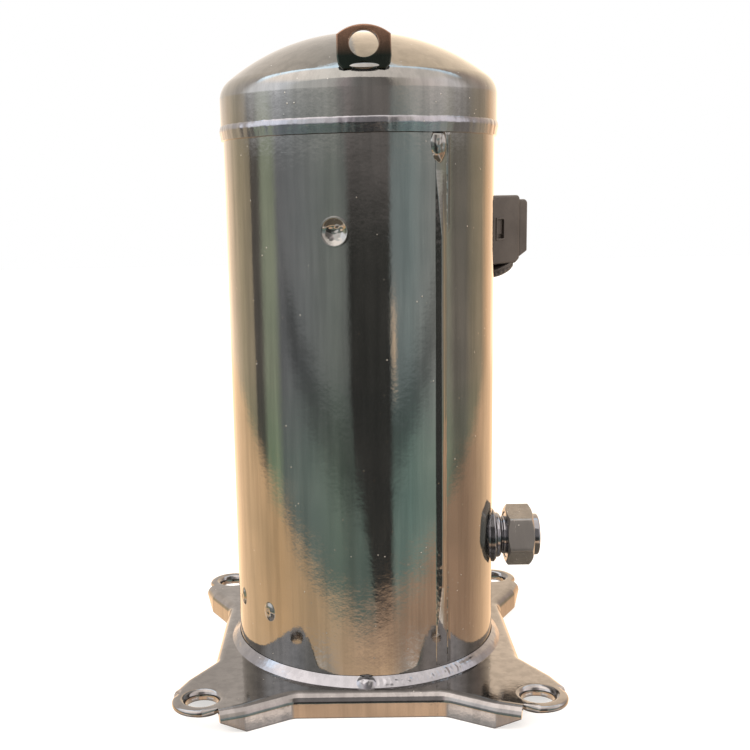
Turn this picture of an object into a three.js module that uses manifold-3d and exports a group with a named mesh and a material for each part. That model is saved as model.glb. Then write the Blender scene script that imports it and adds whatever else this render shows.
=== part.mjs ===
// Hermetic scroll compressor, built as the separate pieces it comes apart into.
// Millimetres, +Z up. The origin is on the shell's axis, at the height of the base plate's lowest edges.
// -Y is the front (lifting eye, clear shell wall), +X the side with the suction fitting.

import * as THREE from 'three';
import { mergeVertices } from 'three/addons/utils/BufferGeometryUtils.js';
import Module from 'manifold-3d';

const wasm = await Module();
wasm.setup();

// ---- driving dimensions ----------------------------------------------------------------------------

const GAP = 0.3;                    // play between pieces that touch on the real machine
const RUN = 0.5;                    // radial play of a bearing, large enough for its facets
const HULL = 40;                    // sides of a circle as large as the shell
const ROUND = 24;                   // sides of a large circle inside it
const MID = 16;                     // sides of a medium circle
const SMALL = 10;                   // sides of a small circle

const SHELL_R = 82.5;               // 165 mm shell
const SHELL_WALL = 3;
const SHELL_BOTTOM = 6;
const SHELL_TOP = 335;

const CAP_R = 83.9;
const CAP_WALL = 3.2;
const CAP_BOTTOM = 338.3;
const CAP_KNUCKLE_Z = 356.5;        // where the cap's straight wall ends
const CAP_KNUCKLE_R = 14;
const CAP_TOP = 394.9;

const HOLE_PITCH = 190.5;           // square pattern of the foot holes
const FOOT_R = 17.25;
const FOOT_HOLE_R = 9.5;
const PLATE_TOP = 15;
const PLATE_WALL = 3;
const SKIRT_SPREAD = 0.03;          // how far the skirt's wall stands outside the plate's edge, as a share
const BEND_LOW = 10;                // height at which the bend between the plate and its skirt begins
const SKIRT_END_CUT = 8;            // height at which the skirt ends above the floor

const SUCTION_Z = 79;
const DISCHARGE_Z = 351;
const TERMINAL_AZIMUTH = 40;        // degrees from +X towards +Y
const TERMINAL_Z = 275.5;

const ECCENTRIC = 5;                // orbit radius of the moving scroll
const WRAP_WALL = 3.05;             // scroll wrap thickness
const WRAP_PLAY = 0.45;             // flank clearance where the wraps come closest
const WRAP_PITCH = 2 * (ECCENTRIC + WRAP_WALL + WRAP_PLAY);
const WRAP_BASE_R = WRAP_PITCH / (2 * Math.PI);
const WRAP_START = 2.6;             // involute angle at the inner end, radians
const WRAP_END = 16;                // involute angle at the outer end, radians

const SHAFT_R = 13;
const JOURNAL_R = 16;
const LOWER_JOURNAL_R = 10;
const PIN_R = 9;
const STATOR_LOW = 105;
const STATOR_HIGH = 190;
const ROTOR_R = 41;

// ---- materials -------------------------------------------------------------------------------------

function paint(color, roughness, metalness) {
  return new THREE.MeshStandardMaterial({ color, roughness, metalness });
}

const BLACK_ENAMEL = () => paint(0x17181a, 0.25, 0.1);
const BLACK_PLASTIC = () => paint(0x2b2826, 0.6, 0);
const BARE_STEEL = () => paint(0x8b8d90, 0.4, 1);
const DARK_STEEL = () => paint(0x55504a, 0.45, 0.9);
const CAST_IRON = () => paint(0x5c5d5f, 0.7, 0.8);
const ALUMINIUM = () => paint(0xb9bcbf, 0.4, 1);
const BRONZE = () => paint(0xa8814c, 0.45, 0.9);
const COPPER = () => paint(0xa4562c, 0.4, 0.8);
const RUBBER = () => paint(0x1b1b1b, 0.85, 0);
const MAGNET = () => paint(0x3a3a3d, 0.6, 0.5);

// ---- solids ----------------------------------------------------------------------------------------

function signedVolume(position, index) {
  const a = new THREE.Vector3();
  const b = new THREE.Vector3();
  const c = new THREE.Vector3();
  let volume = 0;
  for (let i = 0; i < index.count; i += 3) {
    a.fromBufferAttribute(position, index.getX(i));
    b.fromBufferAttribute(position, index.getX(i + 1));
    c.fromBufferAttribute(position, index.getX(i + 2));
    volume += a.dot(b.cross(c));
  }
  return volume;
}

// A closed three.js geometry as a manifold solid, with its faces turned outward.
function solid(geometry) {
  geometry.deleteAttribute('normal');
  geometry.deleteAttribute('uv');
  const merged = mergeVertices(geometry, 1e-4);
  const triangles = [];
  for (let i = 0; i < merged.index.count; i += 3) {
    const corner = [0, 1, 2].map((k) => merged.index.getX(i + k));
    if (new Set(corner).size === 3) triangles.push(...corner);
  }
  const index = new THREE.BufferAttribute(new Uint32Array(triangles), 1);
  if (signedVolume(merged.attributes.position, index) < 0) index.array.reverse();
  return new wasm.Manifold(new wasm.Mesh({
    numProp: 3,
    vertProperties: new Float32Array(merged.attributes.position.array),
    triVerts: index.array,
  }));
}

function toGeometry(manifold) {
  const mesh = manifold.getMesh();
  const geometry = new THREE.BufferGeometry();
  geometry.setAttribute('position', new THREE.BufferAttribute(new Float32Array(mesh.vertProperties), 3));
  geometry.setIndex(new THREE.BufferAttribute(new Uint32Array(mesh.triVerts), 1));
  const flat = geometry.toNonIndexed();
  flat.computeVertexNormals();
  return flat;
}

// Turned about Z. The profile is [radius, height] pairs: both its ends touch the axis, or it closes on itself.
function lathe(profile, sides = ROUND) {
  const points = profile.map(([r, z]) => new THREE.Vector2(r, z));
  if (profile[0][0] > 0) points.push(points[0].clone());
  return new THREE.LatheGeometry(points, sides).rotateX(Math.PI / 2);
}

const turned = (profile, sides) => solid(lathe(profile, sides));

// Turned about X, for what points out of the shell's side. The profile is [radius, distance] pairs.
const turnedOut = (profile, sides) => solid(lathe(profile, sides).rotateY(Math.PI / 2));

const rod = (r, low, high, sides) => turned([[0, low], [r, low], [r, high], [0, high]], sides);
const rodOut = (r, low, high, sides) => turnedOut([[0, low], [r, low], [r, high], [0, high]], sides);
const ring = (inner, outer, low, high, sides) =>
  turned([[inner, low], [outer, low], [outer, high], [inner, high]], sides);

// A plan outline, turned counter-clockwise so that clockwise holes cut it.
function outline(points) {
  const corners = points.map(([x, y]) => new THREE.Vector2(x, y));
  if (THREE.ShapeUtils.isClockWise(corners)) corners.reverse();
  return new THREE.Shape(corners);
}

function extruded(shape, low, high, curveSegments = 10) {
  const depth = high - low;
  const geometry = new THREE.ExtrudeGeometry(shape, { depth, bevelEnabled: false, curveSegments });
  return solid(geometry.translate(0, 0, low));
}

function block([x0, x1], [y0, y1], [z0, z1]) {
  const geometry = new THREE.BoxGeometry(x1 - x0, y1 - y0, z1 - z0);
  return solid(geometry.translate((x0 + x1) / 2, (y0 + y1) / 2, (z0 + z1) / 2));
}

function circleHole(x, y, r) {
  const path = new THREE.Path();
  path.absarc(x, y, r, 0, 2 * Math.PI, true);
  return path;
}

function sectorShape(inner, outer, from, to) {
  const shape = new THREE.Shape();
  shape.absarc(0, 0, outer, from, to, false);
  shape.absarc(0, 0, inner, to, from, true);
  return shape;
}

const sum = (solids) => solids.reduce((a, b) => a.add(b));
const degrees = THREE.MathUtils.degToRad;

// ---- the model's tree ------------------------------------------------------------------------------

const compressor = new THREE.Group();
compressor.name = 'scroll_compressor';

function piece(parent, name, manifold, material) {
  const mesh = new THREE.Mesh(toGeometry(manifold), material());
  mesh.name = name;
  parent.add(mesh);
}

// A group whose +X points out of the shell at an azimuth, and whose origin is on the shell's axis.
function radialGroup(azimuth, height) {
  const group = new THREE.Group();
  group.rotation.z = degrees(azimuth);
  group.position.z = height;
  compressor.add(group);
  return group;
}

// ---- shell, caps and base --------------------------------------------------------------------------

const shellBody = (grow = 0) => rod(SHELL_R + grow, -400, 400, HULL);

// A radial hole through the shell or the cap.
function sideHole(azimuth, height, r, sides = MID) {
  return rodOut(r, 60, 95, sides).rotate([0, 0, azimuth]).translate([0, 0, height]);
}

// A low round lump on the shell, angle in degrees to the left of the front.
function shellLump(left, height, width, tall, proud) {
  const lump = solid(new THREE.SphereGeometry(1, 12, 8).scale(proud * 2, width / 2, tall / 2));
  return lump.translate([SHELL_R - proud, 0, height]).rotate([0, 0, -90 - left]);
}

const WELD_SPOTS_LEFT = [45.8, 68.6];   // where the lower bearing bracket is welded through, front pair
const WELD_SPOT_Z = 51;
const STAKE_LEFT = 10.9;                // where the shell is staked into the main bearing housing
const STAKE_Z = 280;

function shell() {
  let tube = ring(SHELL_R - SHELL_WALL, SHELL_R, SHELL_BOTTOM, SHELL_TOP, HULL);
  for (const left of WELD_SPOTS_LEFT) {
    tube = tube.add(shellLump(left, WELD_SPOT_Z, 9, 11, 1.5));
    tube = tube.add(shellLump(left + 180, WELD_SPOT_Z, 9, 11, 1.5));
  }
  tube = tube.subtract(rod(SHELL_R - SHELL_WALL, SHELL_BOTTOM - 1, SHELL_TOP + 1, HULL));
  const dent = solid(new THREE.SphereGeometry(20, 24, 24)).translate([SHELL_R + 18.6, 0, STAKE_Z]);
  tube = tube.subtract(dent.rotate([0, 0, -90 - STAKE_LEFT]));
  tube = tube.subtract(sideHole(0, SUCTION_Z, 15.4));
  return tube.subtract(sideHole(TERMINAL_AZIMUTH, TERMINAL_Z, 14.4));
}

const SEAM_RIGHT = 30.5;                // longitudinal seam, degrees to the right of the front

function shellSeamWeld() {
  const bead = rodOut(2.4, 21.2, 333, 12).scale([1, 1, 0.45]).rotate([0, -90, 0]);
  const drip = solid(new THREE.SphereGeometry(1, 12, 10).scale(1.8, 4.2, 7)).translate([0, 0, 325]);
  const both = bead.translate([SHELL_R + 0.4, 0, 0]).add(drip.translate([SHELL_R + 0.6, 0, 0]));
  return both.rotate([0, 0, -90 + SEAM_RIGHT]).subtract(shellBody(GAP));
}

// Height of the cap's crown centre, so that the crown meets the knuckle tangentially.
const KNUCKLE_RHO = CAP_R - CAP_KNUCKLE_R;
const CROWN_REACH = CAP_TOP - CAP_KNUCKLE_R;
const CROWN_Z = (CROWN_REACH ** 2 - KNUCKLE_RHO ** 2 - CAP_KNUCKLE_Z ** 2)
  / (2 * (CROWN_REACH - CAP_KNUCKLE_Z));
const CROWN_R = CAP_TOP - CROWN_Z;
const KNUCKLE_END = Math.atan2(CAP_KNUCKLE_Z - CROWN_Z, KNUCKLE_RHO);

// The cap's outer profile, moved inward by a wall thickness, from its straight wall up to the axis.
function capProfile(inset) {
  const points = [];
  for (let i = 0; i <= 3; i += 1) {
    const angle = (KNUCKLE_END * i) / 3;
    const r = CAP_KNUCKLE_R - inset;
    points.push([KNUCKLE_RHO + r * Math.cos(angle), CAP_KNUCKLE_Z + r * Math.sin(angle)]);
  }
  for (let i = 1; i <= 3; i += 1) {
    const angle = KNUCKLE_END + ((Math.PI / 2 - KNUCKLE_END) * i) / 3;
    const r = CROWN_R - inset;
    points.push([i === 3 ? 0 : r * Math.cos(angle), CROWN_Z + r * Math.sin(angle)]);
  }
  return points;
}

function topCap() {
  const outer = [[0, CAP_BOTTOM], [CAP_R, CAP_BOTTOM], ...capProfile(0)];
  const inner = [[0, CAP_BOTTOM - 5], [CAP_R - CAP_WALL, CAP_BOTTOM - 5], ...capProfile(CAP_WALL)];
  return turned(outer, HULL).subtract(turned(inner, HULL)).subtract(sideHole(90, DISCHARGE_Z, 8.4));
}

function topCapWeld() {
  const half = 3.2;
  const middle = (SHELL_TOP + CAP_BOTTOM) / 2;
  const low = SHELL_R + GAP;
  const profile = [
    [low, middle - half], [low + 1.6, middle - half * 0.7], [low + 2.2, middle], [low + 1.8, middle + 1.2],
    [low, middle + 1.2],
  ];
  return turned(profile, HULL);
}

function bottomCap() {
  const r = SHELL_R - SHELL_WALL - GAP;
  return turned([
    [0, 2.5], [40, 3.6], [66, 6.2], [r - 4, 9], [r, 13], [r, 24],
    [r - 3, 24], [r - 3, 13.8], [65, 9.1], [40, 6.6], [0, 5.5],
  ], HULL);
}

// Upper edge of one side of the base plate, from the middle of the side to the end of its skirt.
const SIDE_EDGE = [[0, 93.5], [43, 93.5], [68.3, 108], [82, 113]];

function quarterTurns(points) {
  return [0, 1, 2, 3].map((turn) => points.map(([x, y]) => {
    const c = [1, 0, -1, 0][turn];
    const s = [0, 1, 0, -1][turn];
    return [x * c - y * s, x * s + y * c];
  }));
}

function basePlateOutline() {
  const pitch = HOLE_PITCH / 2;
  const foot = [];
  for (let i = 0; i <= 10; i += 1) {
    const angle = degrees(98 - (106 * i) / 10);
    foot.push([pitch + FOOT_R * Math.cos(angle), pitch + FOOT_R * Math.sin(angle)]);
  }
  const side = SIDE_EDGE.slice(1, 3);
  const mirrored = [...side].reverse().map(([x, y]) => [y, x]);
  const quarter = [...side, [80, 111], ...foot, [111, 80], ...mirrored];
  return quarterTurns(quarter).reverse().flat();
}

// A band of the skirt along the +Y side between two heights, spread outward by a share at each of them.
function skirtBand(low, high, spreadLow, spreadHigh) {
  const right = SIDE_EDGE.slice(1);
  const left = [...right].reverse().map(([x, y]) => [-x, y]);
  const outside = [...left, ...right];
  const inside = [...outside].reverse().map(([x, y]) => [x * 0.985, y - PLATE_WALL]);
  const depth = high - low;
  const band = outline([...outside, ...inside]);
  const geometry = new THREE.ExtrudeGeometry(band, { depth, bevelEnabled: false });
  const position = geometry.attributes.position;
  for (let i = 0; i < position.count; i += 1) {
    const spread = position.getZ(i) > depth / 2 ? spreadHigh : spreadLow;
    position.setXY(i, position.getX(i) * (1 + spread), position.getY(i) * (1 + spread));
  }
  return solid(geometry).translate([0, 0, low]);
}

// One down-turned skirt along the +Y side: an upright wall below a bend, with its ends cut upward.
function skirt() {
  const wall = skirtBand(0, BEND_LOW, SKIRT_SPREAD, SKIRT_SPREAD)
    .add(skirtBand(BEND_LOW, PLATE_TOP, SKIRT_SPREAD, 0));
  const corner = outline([[70.3, -1], [90, -1], [90, SKIRT_END_CUT + 3.4], [84, SKIRT_END_CUT]]);
  const upright = extruded(corner, 95, 125).rotate([90, 0, 0]).translate([0, 220, 0]);
  return wall.subtract(upright).subtract(upright.mirror([1, 0, 0]));
}

function basePlate() {
  const shape = outline(basePlateOutline());
  shape.holes.push(circleHole(0, 0, SHELL_R + GAP));
  let plate = extruded(shape, PLATE_TOP - PLATE_WALL, PLATE_TOP, HULL / 2);
  for (let turn = 0; turn < 4; turn += 1) plate = plate.add(skirt().rotate([0, 0, turn * 90]));
  const pitch = HOLE_PITCH / 2;
  for (const [x, y] of [[pitch, pitch], [-pitch, pitch], [-pitch, -pitch], [pitch, -pitch]]) {
    plate = plate.add(rod(FOOT_HOLE_R + 2.6, PLATE_TOP - 8, PLATE_TOP - 1, MID).translate([x, y, 0]));
    plate = plate.subtract(rod(FOOT_HOLE_R, 0, PLATE_TOP + 1, MID).translate([x, y, 0]));
    const mouth = turned([[0, PLATE_TOP - 2], [FOOT_HOLE_R, PLATE_TOP - 2],
      [FOOT_HOLE_R + 2.2, PLATE_TOP + 0.5], [0, PLATE_TOP + 0.5]], MID);
    plate = plate.subtract(mouth.translate([x, y, 0]));
  }
  return plate;
}

function baseWeld() {
  const low = PLATE_TOP + GAP;
  const r = SHELL_R + GAP;
  return turned([[r, low], [r + 5.4, low], [r + 4.6, low + 1.4], [r, low + 5.2]], HULL);
}

const EYE = {
  width: 29.6, tall: 24.9, hole: 8, holeZ: 14.1, wall: 3, lean: 17, foot: 8.4, arch: 4.4, right: 1.7,
};

// Outline of the lifting eye, seen from the front: crowned top, round hole, two feet with an arch between.
function liftingEye() {
  const half = EYE.width / 2;
  const shape = new THREE.Shape();
  shape.moveTo(-half + 2.4, 0);
  shape.lineTo(-half + EYE.foot, 0);
  shape.quadraticCurveTo(0, EYE.arch * 2, half - EYE.foot, 0);
  shape.lineTo(half - 2.4, 0);
  shape.lineTo(half - 1, 2.4);
  shape.lineTo(half, EYE.tall - 5.7);
  shape.quadraticCurveTo(0, EYE.tall + 5.7, -half, EYE.tall - 5.7);
  shape.lineTo(-half + 1, 2.4);
  shape.holes.push(circleHole(0, EYE.holeZ, EYE.hole));
  const plate = extruded(shape, -EYE.wall / 2, EYE.wall / 2, 14);
  const standing = plate.rotate([90 - EYE.lean, 0, 0]).translate([0, -79.3, CAP_TOP - 28.9]);
  const capOutside = turned([[0, 300], [CAP_R + GAP, 300], ...capProfile(-GAP)], HULL);
  return standing.rotate([0, 0, EYE.right]).subtract(capOutside);
}

piece(compressor, 'shell', shell(), BLACK_ENAMEL);
piece(compressor, 'shell_seam_weld', shellSeamWeld(), BLACK_ENAMEL);
piece(compressor, 'top_cap', topCap(), BLACK_ENAMEL);
piece(compressor, 'top_cap_weld', topCapWeld(), BLACK_ENAMEL);
piece(compressor, 'bottom_cap', bottomCap(), BLACK_ENAMEL);
piece(compressor, 'base_plate', basePlate(), BLACK_ENAMEL);
piece(compressor, 'base_weld', baseWeld(), BLACK_ENAMEL);
piece(compressor, 'lifting_eye', liftingEye(), BLACK_ENAMEL);

// ---- suction and discharge fittings ----------------------------------------------------------------

// A brazed-in threaded spud, its seal, its closing plug and the hex nut that holds the plug.
// face is the distance of the nut's inner face from the shell's axis; host is the wall it stands on.
function fitting(name, group, host, d) {
  const flange = turnedOut([[0, d.inside], [d.spud, d.inside], [d.spud, d.root], [d.flare, d.root - 4],
    [d.flare, d.root], [d.flare - 1, d.root + 0.6], [d.ring, d.root + 1], [d.ring, d.root + 3.6],
    [d.waist, d.root + 4.2], [d.waist, d.root + 7], [d.neck, d.root + 7.6], [d.neck, d.end],
    [0, d.end]], MID);
  const through = rodOut(d.spud, d.inside, d.root, MID);
  const spud = flange.subtract(host).add(through).subtract(rodOut(d.bore, d.inside - 1, d.end + 1, MID));
  piece(group, `${name}_spud`, spud, DARK_STEEL);

  const seal = turnedOut([[d.bore + 0.5, d.end + GAP], [d.neck, d.end + GAP], [d.neck, d.end + 1.5],
    [d.bore + 0.5, d.end + 1.5]], MID);
  piece(group, `${name}_seal`, seal, RUBBER);

  const plug = turnedOut([[0, d.end + 1.8], [d.neck, d.end + 1.8], [d.neck, d.end + 3.4],
    [d.boss, d.end + 3.4], [d.boss, d.out - 1], [d.boss - 1, d.out], [0, d.out]], MID);
  piece(group, `${name}_plug`, plug, DARK_STEEL);

  const lip = d.end + 3.4 + GAP;
  const hex = rodOut(d.hex / Math.cos(Math.PI / 6), d.nutIn, d.nutOut, 6).rotate([d.hexTurn, 0, 0]);
  const chamfer = turnedOut([[0, d.nutIn], [d.hex + 0.4, d.nutIn], [d.hex * 1.17, d.nutIn + 1.6],
    [d.hex * 1.17, d.nutOut - 1.6], [d.hex + 0.4, d.nutOut], [0, d.nutOut]], MID);
  const nut = hex.intersect(chamfer)
    .subtract(rodOut(d.neck + RUN, d.nutIn - 1, lip, MID))
    .subtract(rodOut(d.boss + RUN, lip - 1, d.nutOut + 1, MID));
  piece(group, `${name}_nut`, nut, DARK_STEEL);
}

const suctionGroup = radialGroup(0, SUCTION_Z);
fitting('suction', suctionGroup, shellBody(GAP), {
  inside: 76, root: 84.3, spud: 15, flare: 17.6, ring: 14.3, waist: 12, neck: 14.2, bore: 9.5, end: 103.2,
  boss: 13.4, out: 113, nutIn: 91.7, nutOut: 108.6, hex: 17.5, hexTurn: 15.8,
});

const dischargeGroup = radialGroup(90, DISCHARGE_Z);
fitting('discharge', dischargeGroup, rod(CAP_R + GAP, -60, 60, HULL), {
  inside: 78, root: 86.5, spud: 8, flare: 11.4, ring: 9.6, waist: 8.4, neck: 10.4, bore: 5.5, end: 104.6,
  boss: 8.2, out: 113.2, nutIn: 95, nutOut: 110.4, hex: 13.5, hexTurn: 0,
});

// ---- electrical terminal and its box ---------------------------------------------------------------

const BOX = { half: 33, low: -23, high: 21.5, face: 112.6, wall: 2.4, chamferOut: 109, chamferUp: 3 };
const COVER_OUT = 121.6;
const COVER_WALL = 2.6;
const PIN_RADIUS = 7;
const pinPlaces = [90, 210, 330].map(degrees)
  .map((angle) => [PIN_RADIUS * Math.cos(angle), PIN_RADIUS * Math.sin(angle)]);

// The box's side view (distance from the axis, height), with the lower outer corner cut off.
function boxSide(inset, from, to) {
  const low = BOX.low + inset;
  return outline([[from, low], [Math.min(BOX.chamferOut, to), low], [to, low + BOX.chamferUp],
    [to, BOX.high - inset], [from, BOX.high - inset]]);
}

// Extrudes a side view across the box.
const across = (shape, half) => extruded(shape, -half, half).rotate([90, 0, 0]);

function terminalBox() {
  const outer = across(boxSide(0, 70, BOX.face), BOX.half);
  const room = across(boxSide(BOX.wall, 88, BOX.face + 1), BOX.half - BOX.wall);
  const entrance = block([60, 101], [-25, 25], [-19, 19]);
  const latch = block([89.5, 96.5], [-BOX.half - 1, -BOX.half + 0.9], [-6.6, 6.4]);
  const cableHole = rod(7.3, BOX.low - 1, BOX.low + 6, 24).translate([101, -19, 0]);
  return outer.subtract(room).subtract(entrance).subtract(latch).subtract(cableHole).subtract(shellBody(GAP));
}

function terminalCover() {
  const half = BOX.half - 1.2;
  const profile = outline([[BOX.face + GAP, BOX.low + 3.4], [COVER_OUT, BOX.low + 7.5],
    [COVER_OUT, BOX.high - 4.4], [COVER_OUT - 1.6, BOX.high - 2.8], [BOX.face + GAP, BOX.high - 2.8]]);
  const lid = across(profile, half);
  const plug = across(boxSide(BOX.wall + GAP, 90, BOX.face + 1), BOX.half - BOX.wall - GAP);
  const rim = plug.intersect(block([BOX.face - 4, BOX.face + 0.8], [-40, 40], [-40, 40]));
  const hollow = across(boxSide(BOX.wall + 2.2, 90, COVER_OUT - COVER_WALL), BOX.half - BOX.wall - 2.2);
  return lid.add(rim).subtract(hollow);
}

function terminalFence() {
  const frame = block([74, 90], [-22, 22], [-16.5, 16.5]);
  const inside = block([60, 91], [-20, 20], [-14.6, 14.6]);
  return frame.subtract(inside).subtract(shellBody(GAP));
}

function hermeticTerminal() {
  let cup = turnedOut([[0, 77], [13.9, 77], [13.9, 84], [11.5, 84], [11.5, 79], [0, 79]], MID);
  for (const [y, z] of pinPlaces) {
    cup = cup.add(rodOut(3, 75, 81, 12).translate([0, y, z]));
    cup = cup.subtract(rodOut(1.6 + GAP, 70, 90, 12).translate([0, y, z]));
  }
  return cup;
}

function moldedPlug() {
  let plug = block([84.6, 103], [-14.5, 14.5], [-11.5, 12.5]);
  plug = plug.add(block([92, 101], [14.4, 20], [-6, 6]));
  for (const [y, z] of pinPlaces) plug = plug.subtract(rodOut(1.6 + GAP, 80, 99.5, 12).translate([0, y, z]));
  return plug;
}

const terminalGroup = radialGroup(TERMINAL_AZIMUTH, TERMINAL_Z);
piece(terminalGroup, 'terminal_fence', terminalFence(), BARE_STEEL);
piece(terminalGroup, 'hermetic_terminal', hermeticTerminal(), BARE_STEEL);
pinPlaces.forEach(([y, z], i) => {
  piece(terminalGroup, `terminal_pin_${i + 1}`, rodOut(1.6, 70, 99, SMALL).translate([0, y, z]), COPPER);
});
piece(terminalGroup, 'molded_plug', moldedPlug(), BLACK_PLASTIC);
piece(terminalGroup, 'terminal_box', terminalBox(), BLACK_PLASTIC);
piece(terminalGroup, 'terminal_cover', terminalCover(), BLACK_PLASTIC);

function terminalBoxGasket() {
  const opening = block([80, 90], [-22.3, 22.3], [-16.8, 16.8]);
  return block([83.5, 88.3], [-24.7, 24.7], [-18.7, 18.7]).subtract(opening);
}

function cableGland() {
  const top = BOX.low - GAP;
  const body = turned([[5, top], [14, top], [14, top - 2.4], [12.8, top - 3], [12.8, top - 4],
    [13.4, top - 4.6], [12, top - 7], [9.4, top - 9], [5, top - 9.4]], MID);
  const collar = ring(5, 7, top - 1, top + 8.5, MID);
  return body.add(collar).translate([101, -19, 0]);
}

function earthScrew() {
  return rodOut(1.4, 88.3, 92, SMALL).add(rodOut(2.7, 91, 94, 6)).translate([0, 27.8, 8]);
}

piece(terminalGroup, 'terminal_box_gasket', terminalBoxGasket(), RUBBER);
piece(terminalGroup, 'cable_gland', cableGland(), BLACK_PLASTIC);
piece(terminalGroup, 'earth_screw', earthScrew(), BRONZE);

// ---- scroll set ------------------------------------------------------------------------------------

// One involute wrap as a plan outline: outer flank out, inner flank back.
function wrapShape(turn) {
  const outer = [];
  const inner = [];
  const steps = 60;
  const lag = WRAP_WALL / (2 * WRAP_BASE_R);
  for (let i = 0; i <= steps; i += 1) {
    const angle = WRAP_START + ((WRAP_END - WRAP_START) * i) / steps;
    for (const [list, roll] of [[outer, angle + lag], [inner, angle - lag]]) {
      const x = WRAP_BASE_R * (Math.cos(angle) + roll * Math.sin(angle));
      const y = WRAP_BASE_R * (Math.sin(angle) - roll * Math.cos(angle));
      list.push([x * turn, y * turn]);
    }
  }
  return outline([...outer, ...inner.reverse()]);
}

const FIXED = {
  low: 292.4, flange: 302, floor: 314.4, groove: 320, top: 328, room: 57, r: 64, flangeR: 78.5,
};
const BOLT_R = 74.2;
const boltAngles = [45, 135, 225, 315].map((angle) => angle + TERMINAL_AZIMUTH);

function fixedScroll() {
  let scroll = turned([
    [0, FIXED.low], [FIXED.flangeR, FIXED.low], [FIXED.flangeR, FIXED.flange], [FIXED.r, FIXED.flange],
    [FIXED.r, FIXED.top], [51, FIXED.top], [51, FIXED.groove], [29, FIXED.groove], [29, FIXED.top],
    [0, FIXED.top],
  ]);
  scroll = scroll.subtract(rod(FIXED.room, FIXED.low - 1, FIXED.floor));
  scroll = scroll.subtract(block([45, 70], [-13, 13], [FIXED.low + 2, FIXED.floor - 1]).rotate([0, 0, -25]));
  scroll = scroll.add(extruded(wrapShape(1), FIXED.low, FIXED.floor + 1));
  scroll = scroll.subtract(rod(5, FIXED.floor - 1, FIXED.top + 1, SMALL));
  for (const angle of boltAngles) {
    scroll = scroll.subtract(rod(3.3, FIXED.low - 1, FIXED.flange + 1, 10).translate([BOLT_R, 0, 0])
      .rotate([0, 0, angle]));
  }
  return scroll;
}

const ORBIT = { low: 284.7, plate: 292, wrapTop: 314, r: 59.5 };
const KEY = { at: 59.5, width: 8, length: 7 };

// Modelled about its own centre, then set one eccentric off the shaft's axis.
function orbitingScroll() {
  let scroll = rod(ORBIT.r, ORBIT.low, ORBIT.plate).add(ring(15.8, 20, 266, ORBIT.low + 1, MID));
  scroll = scroll.add(extruded(wrapShape(-1), ORBIT.plate - 1, ORBIT.wrapTop));
  const slot = block([-KEY.width / 2 - GAP, KEY.width / 2 + GAP], [KEY.at - 9.5, KEY.at + 10],
    [ORBIT.low - 1, ORBIT.plate - 1.6]);
  scroll = scroll.subtract(slot).subtract(slot.rotate([0, 0, 180]));
  return scroll.translate([0, ECCENTRIC, 0]);
}

function scrollHubBush() {
  return ring(PIN_R + 4 + RUN, 15.5, 266.4, 284, MID).translate([0, ECCENTRIC, 0]);
}

// Ring with two keys up, into the moving scroll, and two keys down, into the bearing housing.
function oldhamRing() {
  let oldham = ring(56, 63, 278.4, 283);
  const half = KEY.width / 2;
  const up = block([-half, half], [56.2, 62.8], [282, 288.4]);
  const down = block([56.2, 62.8], [-half, half], [273.6, 279]);
  oldham = sum([oldham, up, up.rotate([0, 0, 180]), down, down.rotate([0, 0, 180])]);
  return oldham;
}

function mainBearingHousing() {
  const r = SHELL_R - SHELL_WALL - GAP;
  let housing = turned([
    [18.3, 230], [26, 230], [28, 252], [38, 258], [62, 262], [r - 3, 264], [r, 267], [r, 292.1], [70, 292.1],
    [70, 278], [32, 278], [32, 262.6], [18.3, 262.6],
  ]);
  const slot = block([KEY.at - 9.5, KEY.at + 10], [-KEY.width / 2 - GAP, KEY.width / 2 + GAP], [273, 279]);
  housing = housing.subtract(slot).subtract(slot.rotate([0, 0, 180]));
  for (const angle of boltAngles) {
    housing = housing.subtract(rod(3.3, 277, 293, 10).translate([BOLT_R, 0, 0]).rotate([0, 0, angle]));
    housing = housing.subtract(block([74, 90], [-14, 14], [255, 295]).rotate([0, 0, angle + 45]));
  }
  const terminalRoom = block([68.5, 90], [-17, 17], [258, 295]);
  return housing.subtract(terminalRoom.rotate([0, 0, TERMINAL_AZIMUTH]));
}

function scrollBolt(angle) {
  const shank = rod(3, 279, FIXED.flange + 1, 10);
  const head = rod(5.8, FIXED.flange + GAP, FIXED.flange + 6, 6).intersect(rod(4.1, 290, 320, SMALL));
  return shank.add(head).translate([BOLT_R, 0, 0]).rotate([0, 0, angle]);
}

piece(compressor, 'fixed_scroll', fixedScroll(), CAST_IRON);
piece(compressor, 'orbiting_scroll', orbitingScroll(), CAST_IRON);
piece(compressor, 'scroll_hub_bush', scrollHubBush(), BRONZE);
piece(compressor, 'oldham_ring', oldhamRing(), ALUMINIUM);
piece(compressor, 'thrust_plate', ring(33, 50, 278.3, 284.4), BARE_STEEL);
piece(compressor, 'main_bearing_housing', mainBearingHousing(), CAST_IRON);
piece(compressor, 'main_bearing_bush', ring(JOURNAL_R + RUN, 18, 230.3, 262.3, MID), BRONZE);
boltAngles.forEach((angle, i) => piece(compressor, `scroll_bolt_${i + 1}`, scrollBolt(angle), BARE_STEEL));

// ---- discharge side --------------------------------------------------------------------------------

function mufflerPlate() {
  const low = SHELL_TOP + GAP;
  const high = CAP_BOTTOM - GAP;
  return ring(9, SHELL_R - 0.3, low, high, HULL);
}

function dischargeValveCage() {
  const low = CAP_BOTTOM;
  let cage = turned([[12.3, low], [16, low], [16, low + 8.5], [4, low + 8.5], [4, low + 6], [12.3, low + 6]]);
  cage = cage.subtract(block([-20, 20], [-3, 3], [low + 1.6, low + 5]));
  return cage.subtract(block([-3, 3], [-20, 20], [low + 1.6, low + 5]));
}

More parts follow.
